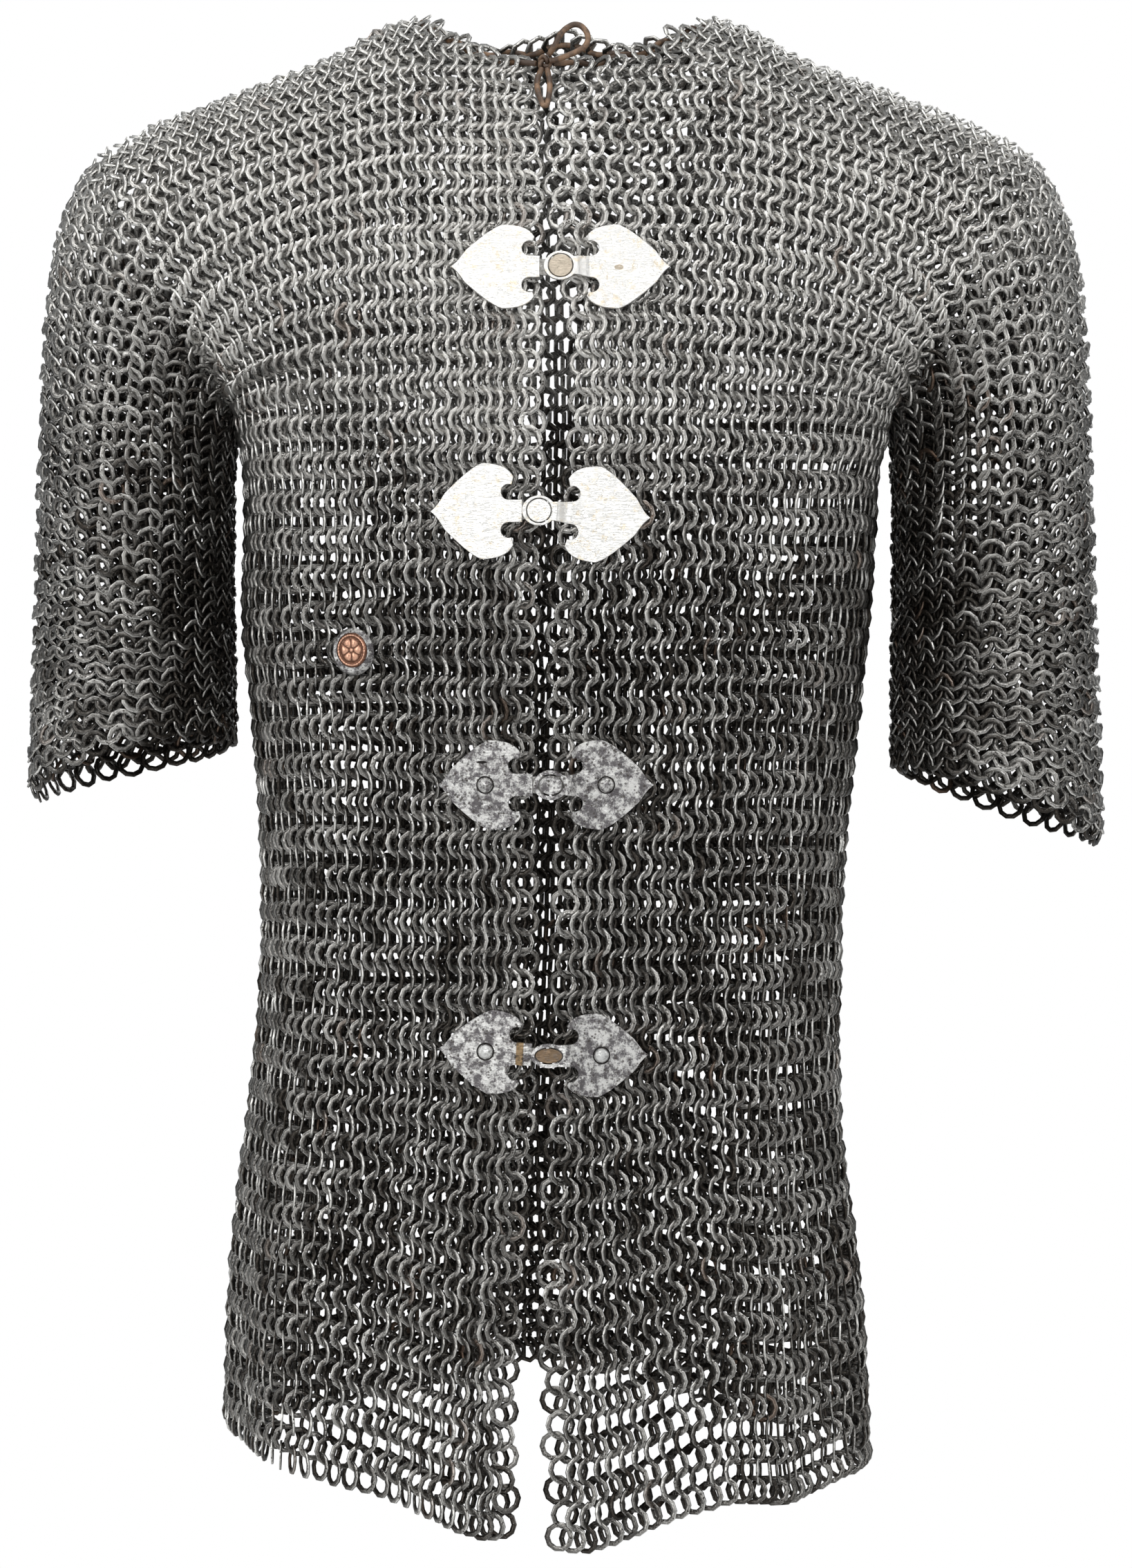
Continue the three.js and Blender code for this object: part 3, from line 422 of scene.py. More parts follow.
def quarter_point(width, depth, share):
    """A place on a quarter of a level section: across from its middle, and out from its centre."""

    def point_at(angle, width, depth):
        across = np.abs(np.sin(angle)) / width
        out = np.abs(np.cos(angle)) / depth
        radius = (across**SQUARENESS + out**SQUARENESS) ** (-1 / SQUARENESS)
        return radius * np.sin(angle), radius * np.cos(angle)

    def points_at(angles):
        return np.stack(point_at(angles, width[:, None], depth[:, None]), axis=2)

    turn = np.full(len(share), math.pi / 2)
    return point_at(np.sign(share) * angle_at_share(points_at, turn, np.abs(share)), width, depth)


def trunk_point(side, face, s, drop):
    centre = read(TRUNK, "drop", "centre", drop)
    depth = read(TRUNK, "drop", FACE_NAME[face], drop)
    across, out = quarter_point(read(TRUNK, "drop", "width", drop), depth, s / ARMHOLE_COLUMN)
    return centre + side * across, face * out, centre


def opening_shift(side, s, drop, centre):
    edge = read(OPENING, "drop", SIDE_NAME[side], drop) + side * OPENING_EASE
    return (edge - centre) * np.maximum(0, 1 - np.maximum(0, s) / 12) ** 2


def skirt_point(side, face, s, share):
    level = ARMPIT_DROP + (PLAIN_HEM_DROP - ARMPIT_DROP) * share
    low = read(HEM, "s", FACE_NAME[face] + " " + SIDE_NAME[side], s)
    drop = level + (low - PLAIN_HEM_DROP) * share**3
    x, y, centre = trunk_point(side, face, s, level)
    folds = SKIRT_FOLDS[FACE_NAME[face], side]
    rise = sum(height * bump(middle, spread, s) for middle, spread, height in folds)
    grown = 1 + rise * smooth(FOLD_START, 1, share) / np.hypot(x - centre, y)
    shift = opening_shift(side, s, drop, centre) if face < 0 else 0
    return np.stack([centre + (x - centre) * grown + shift, y * grown, -drop], axis=1)


def crest_point(side, face, s):
    share = s / NECK_COLUMN
    rise = BACK_NECK_RISE * (1 - share) ** 2 if face > 0 else 0 * share
    length = read(CREST_COLUMNS, "s", "length", s)
    inside = s < NECK_COLUMN
    x = np.where(inside, CREST["x"][0] * share, read(CREST, "length", "x", length))
    z = np.where(inside, CREST["z"][0] + rise, read(CREST, "length", "z", length))
    return side * x, z


def arch_point(side, face, s, share):
    """A column of the chest, or a loop of the sleeve. share is 0 on the crest and 1 at the armpit."""
    top_x, top_z = crest_point(side, face, s)
    sleeve = s > ARMHOLE_COLUMN
    level = np.full(len(s), ARMPIT_DROP)
    trunk_x, trunk_y, _ = trunk_point(side, face, np.minimum(s, ARMHOLE_COLUMN), level)
    arm_x = side * read(INNER_ARM, "s", "x", s) + INNER_ARM_SHIFT
    foot_x = np.where(sleeve, arm_x, trunk_x)
    foot_y = np.where(sleeve, 0, np.abs(trunk_y))
    foot_z = np.where(sleeve, read(INNER_ARM, "s", "z", s), -ARMPIT_DROP)
    depth = read(BOW, "s", FACE_NAME[face], np.maximum(0, s))
    turn = np.radians(read(BOW, "s", "turn", np.maximum(0, s)))
    slack = foot_y - depth * np.sin(turn)

    def point_at(angle, column):
        down = (1 - np.cos(angle)) / (1 - np.cos(column(turn)))
        out = column(depth) * np.sin(angle) + column(slack) * down * down
        x = column(top_x) + (column(foot_x) - column(top_x)) * down
        return np.stack([x, face * out, column(top_z) + (column(foot_z) - column(top_z)) * down], axis=-1)

    angle = angle_at_share(lambda angles: point_at(angles, lambda value: value[:, None]), turn, share)
    x, y, z = point_at(angle, lambda value: value).T
    down = (top_z - z) / (top_z - foot_z)
    if face < 0:
        shift = opening_shift(side, s, -z, TRUNK["centre"][0] * down)
        x = x + np.where(s < NECK_COLUMN + 3, shift, 0)
    rows_up = (1 - share) * RIDGE_ROW / ARMPIT_CREASE["rows"]
    creased = ARMPIT_CREASE["depth"] * bump(ARMPIT_CREASE["s"], ARMPIT_CREASE["spread"], s)
    creased = creased * (1 - smooth(0, 1, rows_up))
    if face < 0:
        last = CUFF_COLUMN[side]
        rise = CUFF_RISE[side] * np.maximum(0, (s - CUFF_RISE_FROM) / (last - CUFF_RISE_FROM)) ** 2
        z = z + np.where(sleeve, rise * np.abs(y / depth), 0)
    y = face * np.maximum(0, np.abs(y) - creased * np.minimum(1, np.abs(y) / 20))
    return np.stack([x, y, z], axis=1)


def raw_point(side, s, v):
    points = np.empty((len(s), 3))
    front = v < 0
    back = v > BACK_ARMPIT_ROW
    points[front] = skirt_point(side, -1, s[front], -v[front] / SKIRT_ROWS)
    points[back] = skirt_point(side, 1, s[back], (v[back] - BACK_ARMPIT_ROW) / SKIRT_ROWS)
    for face in (-1, 1):
        arch = ~front & ~back & ((v >= RIDGE_ROW) == (face > 0))
        points[arch] = arch_point(side, face, s[arch], np.abs(v[arch] - RIDGE_ROW) / RIDGE_ROW)
    return points


def mail_point(side, s, v):
    """Places halfway through the mail, with the turn at the armpit level softened."""
    points = raw_point(side, s, v)
    soft = 3 * smooth(2, 8, s) * (1 - smooth(24, ARMHOLE_COLUMN, s))
    near = (soft > 0.01) & (np.minimum(np.abs(v), np.abs(v - BACK_ARMPIT_ROW)) < soft)
    around = raw_point(side, s[near], v[near] - soft[near]) + raw_point(side, s[near], v[near] + soft[near])
    points[near] = 0.5 * points[near] + 0.25 * around
    return points


def unit(vectors):
    return vectors / np.linalg.norm(vectors, axis=1, keepdims=True)


def mail_frame(side, s, v):
    """Place, way along the row, way up the column, and way out of the mail."""
    step = 0.3
    along = mail_point(side, s + step, v) - mail_point(side, s - step, v)
    up = unit(mail_point(side, s, v + step) - mail_point(side, s, v - step))
    out = unit(side * np.cross(along, up))
    return mail_point(side, s, v), side * np.cross(up, out), up, out


# Rings
RING = {"outer": 7.6, "inner": 5.05, "thick": 1.1}
INSIDE_PAINTED_SHADE = 0.3  # painted shade on the inner side of the mail
DEEP_PAINTED_SHADE = 0.4  # painted shade on the part of a ring that lies under its neighbours
SLEEVE_ROWS = 54
HEM_ROW = -56
FIRST_BACK_ROW = 28
BACK_HEM_ROW = 111
PANEL_ROWS = {-1: np.arange(HEM_ROW, FIRST_BACK_ROW), 1: np.arange(FIRST_BACK_ROW, BACK_HEM_ROW + 1)}
RING_CORNERS = {"front": 10, "back": 7, "sleeve": 10}
LEAN = {"chest": 33, "belly": 39, "back": 21, "sleeve": 21, "covered": 17, "edge": 12}
# Place of the middle across and up, then width and height
CLASPS = ((-2.4, -138, 110, 43.6), (-12.3, -260, 109.5, 47.9), (-9.7, -396, 107.6, 45), (-11, -532, 105, 42))
MEDALLION = (-105, -329, 30, 30)
COVER_FADES = 7


def neck_row(s, face):
    """The row of the neckline at a column."""
    round_off = np.sqrt(np.maximum(0, 1 - (s / NECK_COLUMN) ** 2))
    return RIDGE_ROW + face * NECK_ROWS[face] * round_off


def ring_grid(side, rows, columns):
    """Row and column of every ring of a stretch of mail.

    Every other row is half a ring on, and leans the other way.
    """
    row, column = np.meshgrid(rows, columns, indexing="ij")
    row, column = row.ravel(), column.ravel()
    odd = (row % 2 == 1) != (side < 0)
    return row.astype(float), column + 0.25 + 0.5 * odd, np.where(odd, -1.0, 1.0)


def covered(at):
    """1 where a clasp or the medallion lies on the mail, 0 elsewhere."""
    share = np.zeros(len(at))
    for x, z, width, height in (*CLASPS, MEDALLION):
        beside = np.abs(at[:, 0] - x) - width / 2
        above = np.abs(at[:, 2] - z) - height / 2
        inside = 1 - smooth(0, COVER_FADES, np.maximum(beside, above))
        share = np.maximum(share, inside * (at[:, 1] < 0))
    return share


def wander(count, size):
    return random.uniform(-size, size, count)


def lay_rings(side, row, s, lean, sleeve):
    """Places, axes and tones of rings."""
    count = len(s)
    v = BACK_ARMPIT_ROW * (row - 0.5) / SLEEVE_ROWS if sleeve else row
    drift = 0.12 * np.sin(0.31 * v + 0.9 * side) * np.sin(0.23 * s + 1.3)
    s = s + drift + wander(count, 0.06)
    v = v + 0.1 * np.sin(0.37 * s + 0.21 * v) + wander(count, 0.05)
    at, along, up, out = mail_frame(side, s, v)
    if sleeve:
        angle = np.full(count, float(LEAN["sleeve"]))
    else:
        angle = LEAN["chest"] + (LEAN["belly"] - LEAN["chest"]) * smooth(-180, -330, at[:, 2])
        angle = angle + (LEAN["back"] - angle) * smooth(26, 32, v)
        edge = smooth(2.2, 0.2, s) * (at[:, 1] < 0)
        angle = angle + (LEAN["edge"] - angle) * edge
        at = at + out * (wander(count, 1.4) * edge)[:, None]
    cover = covered(at)
    angle = angle + wander(count, 7)
    angle = np.radians(angle + (LEAN["covered"] - angle) * cover)
    tilt = np.radians((9.0 if sleeve else 0.0) + wander(count, 6) * (1 - 0.8 * cover))
    across = np.cos(angle)[:, None] * along + (lean * np.sin(angle))[:, None] * out
    flat = side * np.cross(across, up)
    outward = np.sign(np.sum(flat * out, axis=1))[:, None]
    down = np.cos(tilt)[:, None] * up + np.sin(tilt)[:, None] * unit(flat) * outward
    at = at + out * wander(count, 0.25)[:, None]
    # Painted light and shade in the tone: brighter towards the shoulders and the top of the sleeve as light
    # from above, a little darker towards the right, painted shade under the clasps and on the side of the
    # sleeve next to the trunk
    light = 0.27 + 0.55 * smooth(-330, -140, at[:, 2]) - 0.05 * smooth(-10, 60, at[:, 0]) - 0.12 * cover
    if sleeve:
        light = 0.3 + 0.5 * smooth(-250, -70, at[:, 2]) - 0.24 * smooth(235, 190, side * at[:, 0])
    # Only the random spread here is each ring's own tone
    tone = light + random.normal(0, 0.13, count)
    rusty = random.random(count) < 0.02
    strong = random.uniform(0.2, 0.5, count)
    rust = np.where(rusty, strong, random.uniform(0, 0.05, count))
    size = 1 + wander(count, 0.025)
    return {"at": at, "across": across, "down": down, "out": out, "tone": tone, "rust": rust, "size": size}


def ring_mesh(name, rings, steps):
    """Flat rings joined in one mesh. Its ring attribute holds tone (with painted shade on the inner side of
    the mail and where a ring lies under its neighbours), rust, and 0 to 1 across the band.
    """
    count = len(rings["at"])
    angles = 2 * math.pi * np.arange(steps) / steps
    half = RING["thick"] / 2
    inner, outer = RING["inner"], RING["outer"]
    corners = ((inner, half, 0), (outer, half, 1), (outer, -half, 1), (inner, -half, 0))
    axis = unit(np.cross(rings["across"], rings["down"]))
    points = np.empty((count, steps, 4, 3))
    marks = np.empty((count, steps, 4, 3))
    marks[..., 0] = rings["tone"][:, None, None]
    marks[..., 1] = rings["rust"][:, None, None]
    outward = np.sign(np.sum(axis * rings["out"], axis=1))[:, None]
    along, upward = np.cos(angles)[None, :, None], np.sin(angles)[None, :, None]
    spoke = along * rings["across"][:, None] + upward * rings["down"][:, None]
    for index, (radius, height, edge) in enumerate(corners):
        reach = radius * rings["size"][:, None, None]
        points[:, :, index] = rings["at"][:, None] + reach * spoke + height * axis[:, None]
        marks[:, :, index, 2] = edge
        # Painted shade under the neighbouring rings: the deeper a corner lies below the ring's middle, the
        # darker
        depth = np.sum((points[:, :, index] - rings["at"][:, None]) * rings["out"][:, None], axis=2)
        # Painted shade: corners on the inner side of the mail are darkened
        inside = (height * outward < 0) * 1.0
        marks[:, :, index, 0] -= INSIDE_PAINTED_SHADE * inside + DEEP_PAINTED_SHADE * smooth(1.0, -3.0, depth)
    here = np.arange(count * steps * 4).reshape(count, steps, 4)
    ahead = np.roll(here, -1, axis=1)
    faces = np.stack([here, np.roll(here, -1, axis=2), np.roll(ahead, -1, axis=2), ahead], axis=-1)
    faces = faces.reshape(-1, 4)
    mesh = bpy.data.meshes.new(name)
    mesh.vertices.add(points.size // 3)
    mesh.vertices.foreach_set("co", (points * METRE).astype(np.float32).ravel())
    mesh.loops.add(faces.size)
    mesh.loops.foreach_set("vertex_index", faces.astype(np.int32).ravel())
    mesh.polygons.add(len(faces))
    mesh.polygons.foreach_set("loop_start", np.arange(0, faces.size, 4, dtype=np.int32))
    attribute = mesh.attributes.new("ring", "FLOAT_VECTOR", "POINT")
    attribute.data.foreach_set("vector", marks.astype(np.float32).ravel())
    mesh.update(calc_edges=True)
    return mesh


def add_mail(name, rings, steps, node):
    """A panel of mail, put on the shirt in the place of its node."""
    panel = add_piece(name, ring_mesh(name, rings, steps), MAIL_IRON, [node])


def make_mail():
    for side in (1, -1):
        name = SIDE_NAME[side]
        for face, rows in PANEL_ROWS.items():
            row, s, lean = ring_grid(side, rows, np.arange(ARMHOLE_COLUMN))
            kept = face * (row - neck_row(s, face)) > -0.3
            rings = lay_rings(side, row[kept], s[kept], lean[kept], sleeve=False)
            node = f"front_{name}" if face < 0 else "back"
            steps = RING_CORNERS[FACE_NAME[face]]
            add_mail(f"mail_{FACE_NAME[face]}_{name}", rings, steps, node)
        columns = np.arange(ARMHOLE_COLUMN, CUFF_COLUMN[side])
        row, s, lean = ring_grid(side, np.arange(1, SLEEVE_ROWS + 1), columns)
        rings = lay_rings(side, row, s, lean, sleeve=True)
        steps = RING_CORNERS["sleeve"]
        add_mail(f"mail_sleeve_{name}", rings, steps, f"sleeve_{name}")


make_mail()


# Tubes, for the lace through the collar and its knot
def tube_mesh(name, points, radii, sides=8, closed=False):
    """A tube along points. radii gives its half width and half thickness."""
    points = np.array(points, float)
    count = len(points)
    if closed:
        way = unit(np.roll(points, -1, axis=0) - np.roll(points, 1, axis=0))
    else:
        way = unit(np.gradient(points, axis=0))
    middle = points.mean(axis=0)
    first = unit(np.cross(way, points - middle))
    second = np.cross(first, way)
    vertices = []
    for k in range(sides):
        angle = 2 * math.pi * k / sides
        vertices.append(points + math.cos(angle) * radii[0] * first + math.sin(angle) * radii[1] * second)
    vertices = np.stack(vertices, axis=1).reshape(-1, 3) * METRE
    faces = []
    for i in range(count if closed else count - 1):
        ahead = (i + 1) % count
        for k in range(sides):
            beside = (k + 1) % sides
            faces.append((i * sides + k, i * sides + beside, ahead * sides + beside, ahead * sides + k))
    if not closed:
        faces.append(tuple(reversed(range(sides))))
        faces.append(tuple(range((count - 1) * sides, count * sides)))
    mesh = bpy.data.meshes.new(name)
    mesh.from_pydata([tuple(vertex) for vertex in vertices], [], faces)
    mesh.polygons.foreach_set("use_smooth", [True] * len(mesh.polygons))
    mesh.update()
    return mesh


LACE_ROWS = {-1: 7.3, 1: 4.9}
LACE_COLUMN = 8.7
LACE_START = 0.12
LACE_STEPS = 90


def lace_side(side):
    """The lace through the top rings of one side of the collar, in and out of them."""
    angle = np.linspace(LACE_START, math.pi, LACE_STEPS)
    s = LACE_COLUMN * np.sin(angle)
    reach = np.where(angle < math.pi / 2, LACE_ROWS[-1], LACE_ROWS[1])
    v = RIDGE_ROW - reach * np.cos(angle)
    at, _, _, out = mail_frame(side, s, v)
    return at + out * (1.6 * np.sin(19 * angle) - 1.2)[:, None]


def make_lace():
    end = (1, 0.1, -0.05)
    left = lace_side(-1)[::-1][1:]
    points = [at_knot(end), *lace_side(1), *left, at_knot((-end[0], end[1], end[2]))]
    through = tube_mesh("lace_through_collar", points, (1.5, 1.1))
    add_piece("lace_through_collar", through, LEATHER, ["lace_band"])
    turn = np.linspace(0, 2 * math.pi, 96, endpoint=False)
    radius = 1 + 0.45 * np.cos(3 * turn)
    spread = (np.array(KNOT["half"]) - 1.2) / 1.45
    path = np.stack([radius * np.cos(2 * turn), 1.2 * np.sin(3 * turn), radius * np.sin(2 * turn)], axis=1)
    knot = tube_mesh("lace_knot_turns", np.array(KNOT["at"]) + path * spread, (1.35, 1.1), closed=True)
    add_piece("lace_knot_turns", knot, LEATHER, ["lace_knot"])


make_lace()


# Clasps. Each leaf lies where its packed leaf does, with rounded edges, and only the eye's neck is cranked.
PLATE = {"thick": 1.8, "edge": 0.3, "leaf": 43.0}
NECK_HALF = 5.6
NOTCH = {"from base": 3.4, "radius": 3.9, "cusp": 0.71}
TONGUE = {"half": 4.2, "reach": 6.5, "end": 13, "low": -0.7, "thick": 1.3}
STUD_FOOT = -1.0
FLAT_FROM_TIP = 26  # how much of a leaf, from its tip, is surely flat
CRANK = (8.1, 14.8)  # from the eye's height to the leaf's, along the leaf
CRANK_STEP = 0.7
BAND = ((13.4, 5.8), (17.0, 5.6), (17.0, -5.6), (13.4, -5.8))
SLOT = {"at": (35, -11.4), "half": (2.8, 0.8)}
DENT = {"at": (29.2, -0.4), "half": (2.4, 1.5)}
SEAM = {"outer": 0.9, "inner": -0.1}  # past the edge of its rivet
MARK = {"buried": 0.6, "proud": 0.08}
# Half sizes of each eye, its hole and its stud, and how far the eye is from the middle of the clasp
EYES = {
    "outer": ((8.4, 7.5), (8.4, 7.5), (8.5, 7.5), (8.8, 6.1)),
    "hole": ((6.4, 6.3), (6.4, 6.3), (6.4, 5.5), (7.1, 4.2)),
    "stud": ((5.9, 5.8), (5.9, 5.8), (5.7, 4.7), (6.6, 3.7)),
    "neck": (4.6, 4.6, 4.8, 5.4),
    "tongue neck": (10.5, 9.0, 9.5, 9.2),
    "shift": (0, -0.8, 2.0, 1.9),
}


def arc(middle, radii, start, end, steps=10):
    angles = np.radians(np.linspace(start, end, steps + 1))
    return [
        (middle[0] + radii[0] * math.cos(angle), middle[1] + radii[1] * math.sin(angle))
        for angle in angles
    ]


def bend(start, first, second, end, steps=8):
    """The points of a Bezier curve, without its start."""
    held = np.array((start, first, second, end), float)
    points = []
    for t in np.linspace(0, 1, steps + 1)[1:]:
        shares = np.array(((1 - t) ** 3, 3 * t * (1 - t) ** 2, 3 * t * t * (1 - t), t**3))
        points.append(tuple(shares @ held))
    return points


def leaf_edge(tip, top):
    """The upper edge of a leaf, from its neck to its tip. x is out from the eye, y is up from the axis."""
    base = tip - PLATE["leaf"]
    notch = (base + NOTCH["from base"], NECK_HALF + NOTCH["radius"])
    cusp = (base + 1.0, NOTCH["cusp"] * top)
    shoulder = (base + 17, top)
    near_tip = (base + 35.5, 0.39 * top)
    edge = arc(notch, (NOTCH["radius"], NOTCH["radius"]), -90, 112, 14)
    edge.append(cusp)
    edge += bend(cusp, (base + 3.5, 0.93 * top), (base + 10, top), shoulder)
    edge += bend(shoulder, (base + 22, 0.93 * top), (base + 29, 0.66 * top), near_tip)
    edge += bend(near_tip, (base + 38, 0.24 * top), (base + 39.5, 0.1 * top), (tip, 0))
    return edge


def mirrored(upper):
    """A closed outline from its upper half, which ends on the axis."""
    return upper + [(x, -y) for x, y in reversed(upper[:-1])]


def plate_mesh(name, outlines, low, thick):
    """A flat plate with rounded edges, filled between its outlines."""
    curve = bpy.data.curves.new(name, "CURVE")
    curve.dimensions = "2D"
    curve.fill_mode = "BOTH"
    curve.extrude = thick / 2 - PLATE["edge"]
    curve.bevel_depth = PLATE["edge"]
    curve.bevel_resolution = 2
    curve.offset = -PLATE["edge"]
    for outline in outlines:
        spline = curve.splines.new("POLY")
        spline.points.add(len(outline) - 1)
        for point, (x, y) in zip(spline.points, outline):
            point.co = (x, y, 0, 1)
        spline.use_cyclic_u = True
    pattern = bpy.data.objects.new(name, curve)
    bpy.context.scene.collection.objects.link(pattern)
    bpy.context.view_layer.update()
    mesh = bpy.data.meshes.new_from_object(pattern.evaluated_get(bpy.context.evaluated_depsgraph_get()))
    bpy.data.objects.remove(pattern)
    bpy.data.curves.remove(curve)
    mesh.transform(Matrix.Translation((0, 0, low + thick / 2)))
    return mesh


def points_of(node):
    return np.array([vertex.co[:] for vertex in ITEMS[node].data.vertices]) / METRE


class Leaf:
    """A leaf in the place of a packed one. Its x is from the eye to the tip, its z out of the shirt."""

    def __init__(self, node, side, middle, metal, slot):
        self.node, self.metal, self.slot = node, metal, slot
        packed = points_of(node)
        tip = packed[np.argmax(side * packed[:, 0])]
        far = packed[np.linalg.norm(packed - tip, axis=1) < FLAT_FROM_TIP]
        out = np.linalg.svd(far - far.mean(axis=0))[2][2]
        out = out * -np.sign(out[1])
        along = tip - middle
        along = along - out * (along @ out)
        self.length = np.linalg.norm(along)
        along = along / self.length
        self.axes = np.stack([along, np.cross(out, along), out])
        self.origin = tip + out * ((far - tip) @ out).min() - along * self.length
        self.packed = self.inside(packed)
        self.crank = None

    def inside(self, points):
        return (points - self.origin) @ self.axes.T

    def crank_eye(self, width):
        """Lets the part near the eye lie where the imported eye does."""
        eye = self.packed[self.packed[:, 0] < width]
        terms = np.stack([np.ones(len(eye)), eye[:, 0], eye[:, 1]], axis=1)
        self.crank = np.linalg.lstsq(terms, eye[:, 2] - PLATE["thick"] / 2, rcond=None)[0]

    def place(self, name, meshes, metal=None, node=None):
        """Joins meshes that are drawn on the leaf, and puts them on the shirt."""
        leaf = bmesh.new()
        for mesh in meshes:
            leaf.from_mesh(mesh)
            bpy.data.meshes.remove(mesh)
        if self.crank is not None:
            for x in np.arange(*CRANK, CRANK_STEP):
                everything = leaf.verts[:] + leaf.edges[:] + leaf.faces[:]
                bmesh.ops.bisect_plane(leaf, geom=everything, plane_co=(x, 0, 0), plane_no=(1, 0, 0))
        for vertex in leaf.verts:
            x, y, z = vertex.co
            if self.crank is not None:
                z += float(1 - smooth(*CRANK, x)) * (self.crank @ (1, x, y))
            vertex.co = Vector(self.origin + np.array((x, y, z)) @ self.axes) * METRE
        mesh = bpy.data.meshes.new(name)
        leaf.to_mesh(mesh)
        leaf.free()
        add_piece(name, mesh, metal or self.metal, [node or self.node])


def oval(middle, radii, steps=28):
    return arc(middle, radii, 0, 360, steps)[:-1]


def mark(middle, radii, inner=None):
    """A thin mark that stands just proud of a leaf. With inner radii it is a ring."""
    outlines = [oval(middle, radii)]
    if inner is not None:
        outlines.append(oval(middle, inner))
    return plate_mesh("mark", outlines, PLATE["thick"] - MARK["buried"], MARK["buried"] + MARK["proud"])


def make_clasp(number):
    _, _, length, height = CLASPS[number - 1]
    eye = {key: column[number - 1] for key, column in EYES.items()}
    metal, slot = (BRIGHT, "bright_clasp") if number <= 2 else (WORN, "worn_clasp")
    thick = PLATE["thick"]
    stud = points_of(f"clasp_{number}_stud")
    middle = (stud.min(axis=0) + stud.max(axis=0)) / 2 + (eye["shift"], 0, 0)

    leaf = Leaf(f"clasp_{number}_tongue_leaf", -1, middle, metal, slot)
    edge = leaf_edge(leaf.length, height / 2)
    plate = plate_mesh("plate", [mirrored([(eye["tongue neck"], NECK_HALF), *edge])], 0, thick)
    half = TONGUE["half"] * min(1, eye["outer"][1] / 7.5)
    strip = arc((half - TONGUE["reach"], 0), (half, half), 90, 270)
    strip += [(TONGUE["end"], -half), (TONGUE["end"], half)]
    tongue = plate_mesh("tongue", [strip], TONGUE["low"], TONGUE["thick"])
    leaf.place(f"clasp_{number}_tongue_plate", [plate])
    # the tongue's darker metal is painted shade
    leaf.place(f"clasp_{number}_tongue", [tongue], PAINTED_SHADE_TONGUE)
    if number == 4:
        leaf.place("clasp_4_brass_band", [plate_mesh("band", [BAND], -0.1, thick + 0.5)], BRASS)
    if number == 3:
        leaf.place("clasp_3_slot", [mark(SLOT["at"], SLOT["half"])], DARK)
    leaves = [("left", leaf)]

    leaf = Leaf(f"clasp_{number}_eye_leaf", 1, middle, metal, slot)
    leaf.crank_eye(eye["outer"][0])
    edge = leaf_edge(leaf.length, height / 2)
    meet = math.degrees(math.asin(eye["neck"] / eye["outer"][1]))
    ring = arc((0, 0), eye["outer"], 180, meet, 16)
    plate = plate_mesh("plate", [mirrored(ring + edge)[:-1], oval((0, 0), eye["hole"])], 0, thick)
    leaf.place(f"clasp_{number}_eye_plate", [plate])
    stud_plate = plate_mesh("stud", [oval((0, 0), eye["stud"])], STUD_FOOT, thick + 0.9)
    leaf.place(f"clasp_{number}_stud_plate", [stud_plate], STUD_METAL.get(number), f"clasp_{number}_stud")
    if number == 1:
        leaf.place("clasp_1_dent", [mark(DENT["at"], DENT["half"])], BEIGE)
    leaves.append(("right", leaf))

    if number >= 3:
        for name, leaf in leaves:
            rivet = leaf.inside(points_of(f"clasp_{number}_rivet_{name}"))
            at = rivet.min(axis=0) / 2 + rivet.max(axis=0) / 2
            size = (rivet[:, 0].max() - rivet[:, 0].min()) / 2
            outer, inner = size + SEAM["outer"], size + SEAM["inner"]
            seam = mark(at[:2], (outer, outer), (inner, inner))
            leaf.place(f"clasp_{number}_{name}_seam", [seam], DARK)


def make_clasps():
    for number in range(1, len(CLASPS) + 1):
        make_clasp(number)


make_clasps()


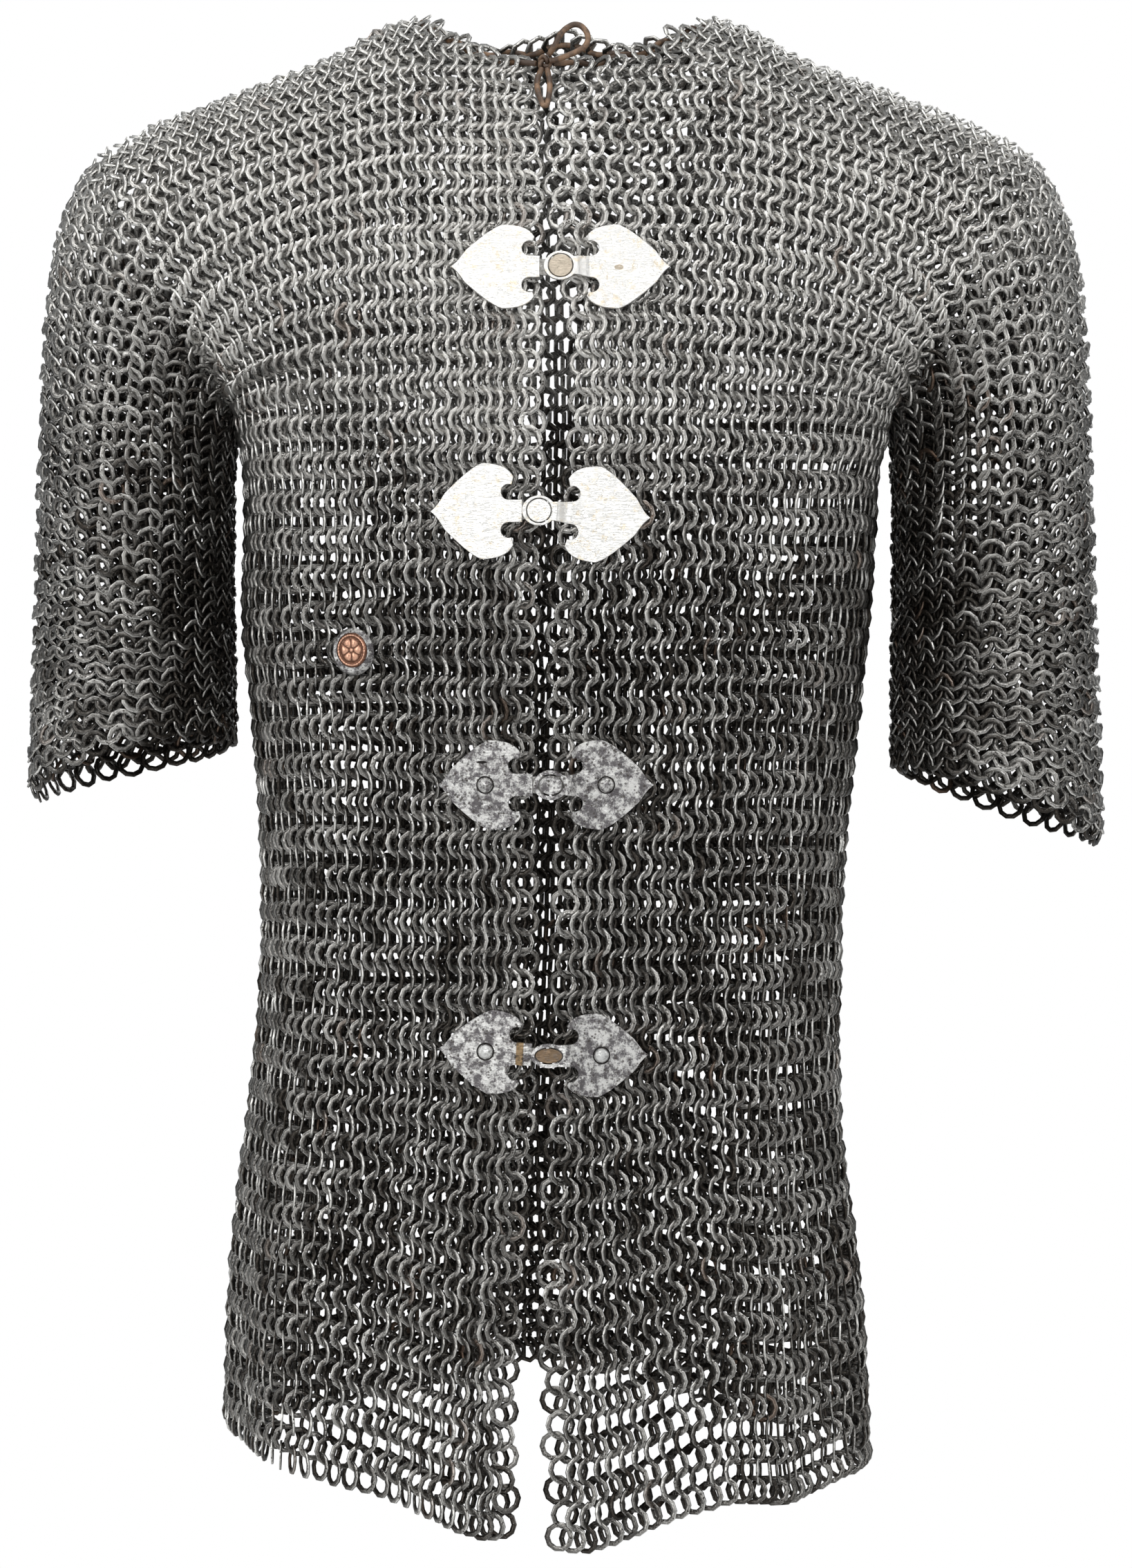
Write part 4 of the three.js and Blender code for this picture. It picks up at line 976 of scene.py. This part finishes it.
# The disc of the medallion: a plain six-petal rosette inside a beaded rim
def make_rosette():
    packed = np.array([vertex.co[:] for vertex in ITEMS["medallion_disc"].data.vertices])
    centre = (packed.max(axis=0) + packed.min(axis=0)) / 2
    axis = np.linalg.svd(packed - packed.mean(axis=0))[2][2]
    axis = axis if axis[1] < 0 else -axis
    along = np.cross(axis, (0, 0, -1))
    along = along / np.linalg.norm(along)
    upward = np.cross(axis, along)
    across = (packed - centre) @ along
    radius = (across.max() - across.min()) / 2
    depth = np.ptp((packed - centre) @ axis)
    rings, sides = 34, 144
    vertices, heights, faces = [], [], []
    for i in range(rings + 1):
        share = i / rings
        for k in range(sides):
            angle = 2 * math.pi * k / sides
            from_boss = min(1, max(0, (share - 0.14) / 0.54))
            petal = abs(math.cos(3 * angle)) ** 0.7 * math.sin(math.pi * from_boss) ** 0.8
            bead = math.exp(-(((share - 0.86) / 0.05) ** 2)) * (0.45 + 0.55 * abs(math.sin(15 * angle)))
            boss = math.exp(-((share / 0.1) ** 2))
            height = max(petal, bead, boss) * (1 - smooth(0.93, 1.0, share))
            lift = depth * (0.02 + 0.48 * height - 0.2 * float(smooth(0.94, 1.0, share)))
            spoke = math.cos(angle) * along + math.sin(angle) * upward
            vertices.append(centre + radius * share * spoke + lift * axis)
            heights.append(float(height))
    for k in range(sides):
        angle = 2 * math.pi * k / sides
        spoke = math.cos(angle) * along + math.sin(angle) * upward
        vertices.append(centre + radius * spoke - depth / 2 * axis)
        heights.append(0.0)
    for i in range(rings + 1):
        for k in range(sides):
            beside = (k + 1) % sides
            faces.append((i * sides + k, (i + 1) * sides + k, (i + 1) * sides + beside, i * sides + beside))
    faces.append(tuple((rings + 1) * sides + k for k in reversed(range(sides))))
    mesh = bpy.data.meshes.new("medallion_rosette")
    mesh.from_pydata([tuple(vertex) for vertex in vertices], [], faces)
    mesh.attributes.new("relief", "FLOAT", "POINT").data.foreach_set("value", heights)
    mesh.polygons.foreach_set("use_smooth", [True] * len(mesh.polygons))
    mesh.validate()
    mesh.update()
    add_piece("medallion_rosette", mesh, COPPER, ["medallion_disc"])


make_rosette()


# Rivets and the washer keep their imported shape, with their edges broken
def finish_packed():
    for name, obj in ITEMS.items():
        if obj.hide_render:
            continue
        weld = obj.modifiers.new("weld", "WELD")
        weld.merge_threshold = 0.02 * METRE
        edges = obj.modifiers.new("edges", "BEVEL")
        edges.width = 0.4 * METRE
        edges.segments = 2
        edges.limit_method = "ANGLE"
        edges.angle_limit = math.radians(40)
        obj.modifiers.new("normals", "WEIGHTED_NORMAL")
        obj.data.materials.clear()
        obj.data.materials.append(RIVET if name.startswith("clasp_4") else WORN)


finish_packed()


# Studio
def add_light(name, place, target, size, power):
    data = bpy.data.lights.new(name, "AREA")
    data.shape = "RECTANGLE"
    data.size, data.size_y = size
    data.energy = power
    light = bpy.data.objects.new(name, data)
    light.location = place
    light.rotation_euler = (Vector(target) - Vector(place)).to_track_quat("-Z", "Y").to_euler()
    bpy.context.scene.collection.objects.link(light)


def make_studio():
    bpy.context.scene.view_settings.view_transform = "Standard"
    world = bpy.data.worlds.new("studio")
    bpy.context.scene.world = world
    world.use_nodes = True
    tree = world.node_tree
    tree.nodes.clear()
    seen = put(tree, "ShaderNodeLightPath", {}).outputs["Is Camera Ray"]
    around = put(tree, "ShaderNodeBackground", {"Color": colour(0.9, 0.95, 1.0), "Strength": 0.2})
    behind = put(tree, "ShaderNodeBackground", {"Color": colour(1, 1, 1), "Strength": 1.0})
    both = put(tree, "ShaderNodeMixShader", {0: seen, 1: around.outputs[0], 2: behind.outputs[0]})
    put(tree, "ShaderNodeOutputWorld", {0: both.outputs[0]})
    middle = (0, 0, -0.35)
    add_light("front", (-0.3, -3.4, 0.5), middle, (2.2, 2.2), 60)
    add_light("left", (-2.6, -1.2, 0.4), middle, (1.2, 2.4), 34)
    add_light("right", (2.6, -1.0, 0.3), middle, (1.2, 2.4), 26)
    add_light("above", (0, -0.6, 2.2), middle, (2.4, 1.6), 40)
    add_light("rear", (0.6, 2.8, 0.8), middle, (2.0, 2.0), 30)
    mesh = bpy.data.meshes.new("floor")
    corners = [(-4, -3.5, -1.5), (4, -3.5, -1.5), (4, 3.5, -1.5), (-4, 3.5, -1.5)]
    mesh.from_pydata(corners, [], [(0, 1, 2, 3)])
    floor = bpy.data.objects.new("floor", mesh)
    bpy.context.scene.collection.objects.link(floor)
    material, _, shader = new_material("pale_floor")
    shader.inputs["Base Color"].default_value = colour(0.85, 0.85, 0.85)
    shader.inputs["Roughness"].default_value = 0.8
    mesh.materials.append(material)


make_studio()
